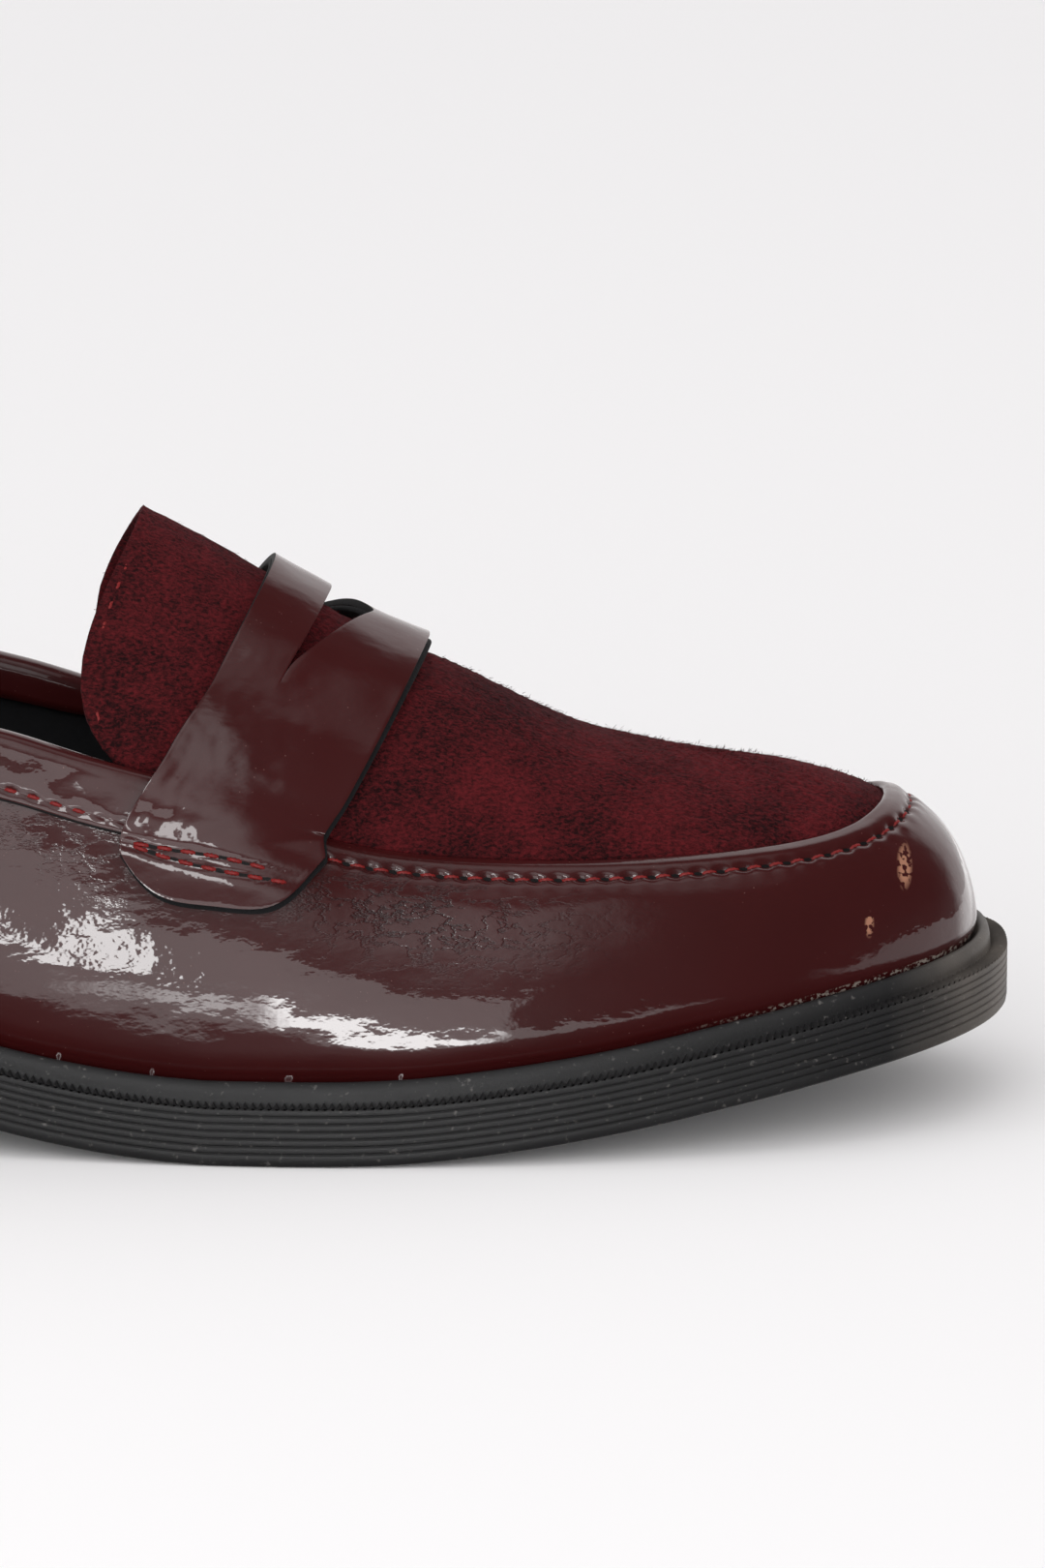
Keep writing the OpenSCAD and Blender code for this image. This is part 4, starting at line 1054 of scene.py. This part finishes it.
def tab_end(p):
    """The t of a tab's end; p runs 0 to 1 from the strap's rear edge to its front edge."""
    from_lowest = np.abs(p - TAB_LOWEST) / np.where(p < TAB_LOWEST, TAB_LOWEST, 1 - TAB_LOWEST)
    return 0.56 + mix(0.14, 0.26, p) * from_lowest ** mix(5, 2, p)


def tab_station(p, t):
    """Station on a tab, which leans back below the edge line."""
    return mix(STRAP_REAR - 5.2 * smooth((1 - t) / 0.3), STRAP_FRONT, p)


def strap_point(side, p, c):
    """A point under the strap; c runs 0 at the end of a tab, 1 at the edge line, 2 on the ridge."""
    t = mix(tab_end(p), 0.95, np.minimum(1, c))
    v = mix(0.1, 1, np.clip(c - 1, 0, 1))
    over = mix(STRAP_REAR + 7.4 * np.minimum(1, v / 0.4) ** 0.35, STRAP_FRONT + 0.3 + 3.7 * v, p)
    s = np.where(c <= 1, tab_station(p, t), over)
    u = edge_share(s) if side < 0 else 2 - edge_share(s)
    on_tab, on_arch = wall(u, t), apron(u, v)
    return np.where((c <= 1)[..., None], on_tab, on_arch)


STRAP_ROWS, STRAP_COLUMNS = 26, 101
strap_c = np.concatenate([np.linspace(0, 1, 30)[:-1], np.linspace(1, 2, STRAP_COLUMNS - 29)])
strap_c = np.concatenate([strap_c, strap_c[-2::-1]])
strap_side = np.where(np.arange(len(strap_c)) < STRAP_COLUMNS, -1, 1)
slot_w = np.clip((strap_c - SLOT_FROM) / (2 - SLOT_FROM), 0, 1)
rear_line = mix(0.23, 0.26, slot_w)
front_line = mix(0.23, 0.56, slot_w)
band = np.linspace(0, 1, STRAP_ROWS)[:, None]
strap_p = np.concatenate([rear_line * band, front_line + (1 - front_line) * band])
grid_c = np.broadcast_to(strap_c, strap_p.shape)
smoothed = np.where((strap_side < 0)[None, :, None], strap_point(-1, strap_p, grid_c),
                    strap_point(1, strap_p, grid_c))
for repeat in range(12):
    smoothed[:, 1:-1] = 0.25 * smoothed[:, :-2] + 0.5 * smoothed[:, 1:-1] + 0.25 * smoothed[:, 2:]
strap_n = np.concatenate([grid_normals(smoothed[:STRAP_ROWS]), grid_normals(smoothed[STRAP_ROWS:])])
strap_n[STRAP_ROWS - 1:STRAP_ROWS + 1] = (strap_n[STRAP_ROWS - 1] + strap_n[STRAP_ROWS]) / 2
strap_n /= np.linalg.norm(strap_n, axis=-1, keepdims=True)
clear = 0.1 + 1.2 * smooth((strap_c - 0.6) / 0.5)


def strap_skin(name, height, relief=0, grow=0):
    """The strap's grid at a height. Its front edge and tab ends stand out by grow millimetres, and
    its rear edge by a small share of that."""
    lifted = clear[None] + height + np.broadcast_to(relief, strap_p.shape)
    grid = smoothed + strap_n * lifted[..., None]
    for edge, inner, share in ((np.s_[0], np.s_[1], 0.15), (np.s_[-1], np.s_[-2], 1),
                               (np.s_[:, 0], np.s_[:, 1], 1), (np.s_[:, -1], np.s_[:, -2], 1)):
        away = grid[edge] - grid[inner]
        grid[edge] = grid[edge] + grow * share * away / np.linalg.norm(away, axis=-1, keepdims=True)
    return skin(name, grid, bridge=STRAP_ROWS - 1)


backing = strap_skin("strap_backing_cloth", BACKING_T, grow=0.8)
backing_cloth = lining_cloth("black_backing_cloth", "#080708", 0.5)
backing.data.materials.append(backing_cloth)
sheet(backing, BACKING_T - 0.03)
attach(backing, "root")
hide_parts("strap_backing")

# Two stitched rows sink the tabs, and above them the pull of the thread dimples the leather.
ROW_DIPS = (0, 0.045)


def row_height(p, dip):
    """The t of a tab's row of stitches, which hangs by dip in its middle."""
    return mix(0.735, 0.7, p) - dip * np.sin(math.pi * p)


tab_t = mix(tab_end(strap_p), 0.95, np.minimum(1, grid_c))
sewn_down = np.where(grid_c < 1, sum(bell(tab_t - row_height(strap_p, dip), 0.016) for dip in ROW_DIPS), 0)
above_rows = smooth((tab_t - row_height(strap_p, 0)) / 0.03)
pulled = smooth((0.75 - strap_p) / 0.3) * above_rows * smooth((1.65 - grid_c) / 0.4)
strap_wave = soft_noise(smoothed, 9) * smooth((strap_c - 0.8) / 0.3)
strap_relief = 0.3 * strap_wave + 0.09 * soft_noise(smoothed, 1.9) * pulled - 0.38 * np.minimum(1, sewn_down)
strap = strap_skin("strap_patent", BACKING_T + STRAP_T, strap_relief)
strap.data.materials.append(burgundy_patent)
strap.data.materials.append(cut_edge)
sheet(strap, STRAP_T - 0.05, rim_slot=1, rounding=0.3)
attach(strap, "root")
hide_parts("strap")

# ---- Seams ----
# Lockstitch in a deep red two-ply polyester thread, 3.8 mm a stitch. Each stitch pulls its ends
# into the leather, and a dark disc between each two is painted shade for the deep hole there.
THREAD_D = 0.66
STITCH_L = 2.6


def polyester_thread(name):
    thread, out = new_material(name)
    spot = add_node(thread, "ShaderNodeTexCoord")
    fuzz = add_node(thread, "ShaderNodeTexNoise", inputs={"Scale": 1 / (0.35 * MM), "Detail": 3.0},
                    links={"Vector": (spot, "Object")})
    tint = add_node(thread, "ShaderNodeMix", {"data_type": "RGBA"},
                    inputs={"A": hex_color("#550c0d"), "B": hex_color("#a11c1a")},
                    links={"Factor": (fuzz, "Fac")})
    shader = add_node(thread, "ShaderNodeBsdfPrincipled",
                      inputs={"Roughness": 0.5, "Specular IOR Level": 0.35},
                      links={"Base Color": (tint, "Result")})
    surface(thread, out, shader)
    return thread


red_thread = polyester_thread("red_twisted_polyester_thread")


def sew(bm, line, normals, offset, lift, dip):
    """Adds twisted stitches along a line of points to a bmesh, and a dark disc of painted shade between each
    two.
    """
    reach = length_along(line)
    count = int((reach[-1] - offset) / STITCH_PITCH)
    along = np.linspace(-0.5, 0.5, 9)
    turn = np.linspace(0, 2 * math.pi, 7)

    def on_line(at, columns):
        return np.stack([np.interp(at, reach, columns[:, i]) for i in range(3)], -1)

    for k in range(count):
        centre = offset + (k + 0.5) * STITCH_PITCH
        at = centre + along * STITCH_L
        p, n = on_line(at, line), on_line(at, normals)
        n /= np.linalg.norm(n, axis=-1, keepdims=True)
        run = np.gradient(p, axis=0)
        run /= np.linalg.norm(run, axis=-1, keepdims=True)
        side = np.cross(n, run)
        p = p + n * (lift - (lift + dip) * np.abs(2 * along) ** 2.5)[:, None]
        ply = 1 + 0.2 * np.cos(2 * (turn[None] - 11 * along[:, None]))
        ring = side[:, None] * np.cos(turn)[None, :, None] + n[:, None] * np.sin(turn)[None, :, None]
        points = place(p[:, None] + ring * (THREAD_D / 2 * ply)[..., None])
        for v in bmesh.ops.create_grid(bm, x_segments=8, y_segments=6, size=0.5)["verts"]:
            v.co = points[round((v.co.x + 0.5) * 8), round((v.co.y + 0.5) * 6)]
        if k:
            # The pit is a near-black disc of painted shade, sunk just under the line.
            p, n = (on_line(centre - STITCH_PITCH / 2, columns) for columns in (line, normals))
            pit = bmesh.ops.create_circle(bm, cap_ends=True, radius=0.5, segments=10)["verts"]
            for v in pit:
                v.co = place(p - n * 0.1 + run[0] * v.co.x * 2.1 + side[0] * v.co.y * 0.8)
            pit[0].link_faces[0].material_index = 1


def seam(name, node, lines, lift=0.12, dip=0.5):
    """Sews (line, normals, offset of the first stitch) rows as one piece. A stitch's middle stands
    lift above the line, and its ends lie dip under it."""
    bm = bmesh.new()
    for line, normals, offset in lines:
        sew(bm, line, normals, offset, lift, dip)
    bmesh.ops.remove_doubles(bm, verts=bm.verts, dist=1e-6)
    pits = [f for f in bm.faces if f.material_index == 1]
    ends = [e for e in bm.edges if e.is_boundary and e.link_faces[0] not in pits]
    bmesh.ops.holes_fill(bm, edges=ends, sides=0)
    bmesh.ops.recalc_face_normals(bm, faces=[f for f in bm.faces if f.material_index == 0])
    piece = new_object(name, bm)
    piece.data.shade_smooth()
    piece.data.materials.append(red_thread)
    piece.data.materials.append(hole_shade_disc)
    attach(piece, "root")
    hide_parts(node)


# Painted shade: a near-black disc stands for the shade down in each needle hole.
hole_shade_disc, out = new_material("painted_shade_in_needle_hole")
surface(hole_shade_disc, out, add_node(hole_shade_disc, "ShaderNodeBsdfPrincipled",
                                   inputs={"Base Color": hex_color("#0c0304"), "Roughness": 0.8}))

# The apron's seam starts under the strap's front edge.
front_q = wall_q[wall_q >= edge_share(152)]
front_us = np.concatenate([front_q, (2 - front_q)[-2::-1]])
front_t = down_wall(front_us, np.full((len(front_us), 1), SEAM_IN))[0][:, 0]
apron_seam_line = wall(front_us, front_t) - 0.5 * wall_normal(front_us, front_t)
start_mm = np.interp(front_us[0], wall_us[:len(wall_q)], seam_mm[:len(wall_q), 0])
seam("apron_seam_stitches", "apron_stitching",
     [(apron_seam_line, wall_normal(front_us, front_t), -start_mm % STITCH_PITCH)])

# The collar's seam ends where the linings butt, under the strap.
collar_keep = np.abs(binding_us) <= BUTT_U
collar_us = binding_us[collar_keep]
collar_t = down_wall(collar_us, np.full((len(collar_us), 1), COLLAR_H - 2))[0][:, 0]
collar_n = wall_normal(collar_us, collar_t)
seam("collar_seam_stitches", "collar_stitching",
     [(wall(collar_us, collar_t) + collar_n * 0.66, collar_n, -collar_mm[collar_keep][0, 0] % STITCH_PITCH)])

tab_lines = []
for side in (-1, 1):
    for dip in ROW_DIPS:
        p = np.linspace(0.04, 0.8, 60)
        t = row_height(p, dip)
        q = edge_share(tab_station(p, t))
        u = q if side < 0 else 2 - q
        n = wall_normal(u, t)
        tab_lines.append((wall(u, t) + n * (BACKING_T + STRAP_T - 0.12), n, 0.3))
seam("strap_seam_stitches", "strap_stitching", tab_lines)

# The tongue's row has sunk into the nap and goes under it toward the ridge.
vs = np.linspace(0.2, 0.84, 50)
q = edge_share(TONGUE_STATION + mix(1.0, 0.2, vs))
tongue_lines = []
for side in (-1, 1):
    u = q if side < 0 else 2 - q
    n = np.cross(apron(u + 0.004, vs) - apron(u - 0.004, vs), apron(u, vs + 0.01) - apron(u, vs - 0.01))
    n /= np.linalg.norm(n, axis=-1, keepdims=True)
    tongue_lines.append((apron(u, vs, 1.9) - n * (0.5 * smooth((vs - 0.55) / 0.3))[:, None], n, 0.3))
seam("tongue_seam_stitches", "tongue_stitching", tongue_lines, lift=-0.26)

strip_lines = []
for q in (edge_share(STRIP_EDGE - 0.3), 2 - edge_share(STRIP_EDGE - 0.3)):
    t = np.linspace(0.04, 0.8, 90)
    u = np.full(t.shape, q)
    n = wall_normal(u, t)
    strip_lines.append((wall(u, t) + n * 1.0, n, 0.3))
seam("back_strip_seam_stitches", "back_strip_stitching", strip_lines)
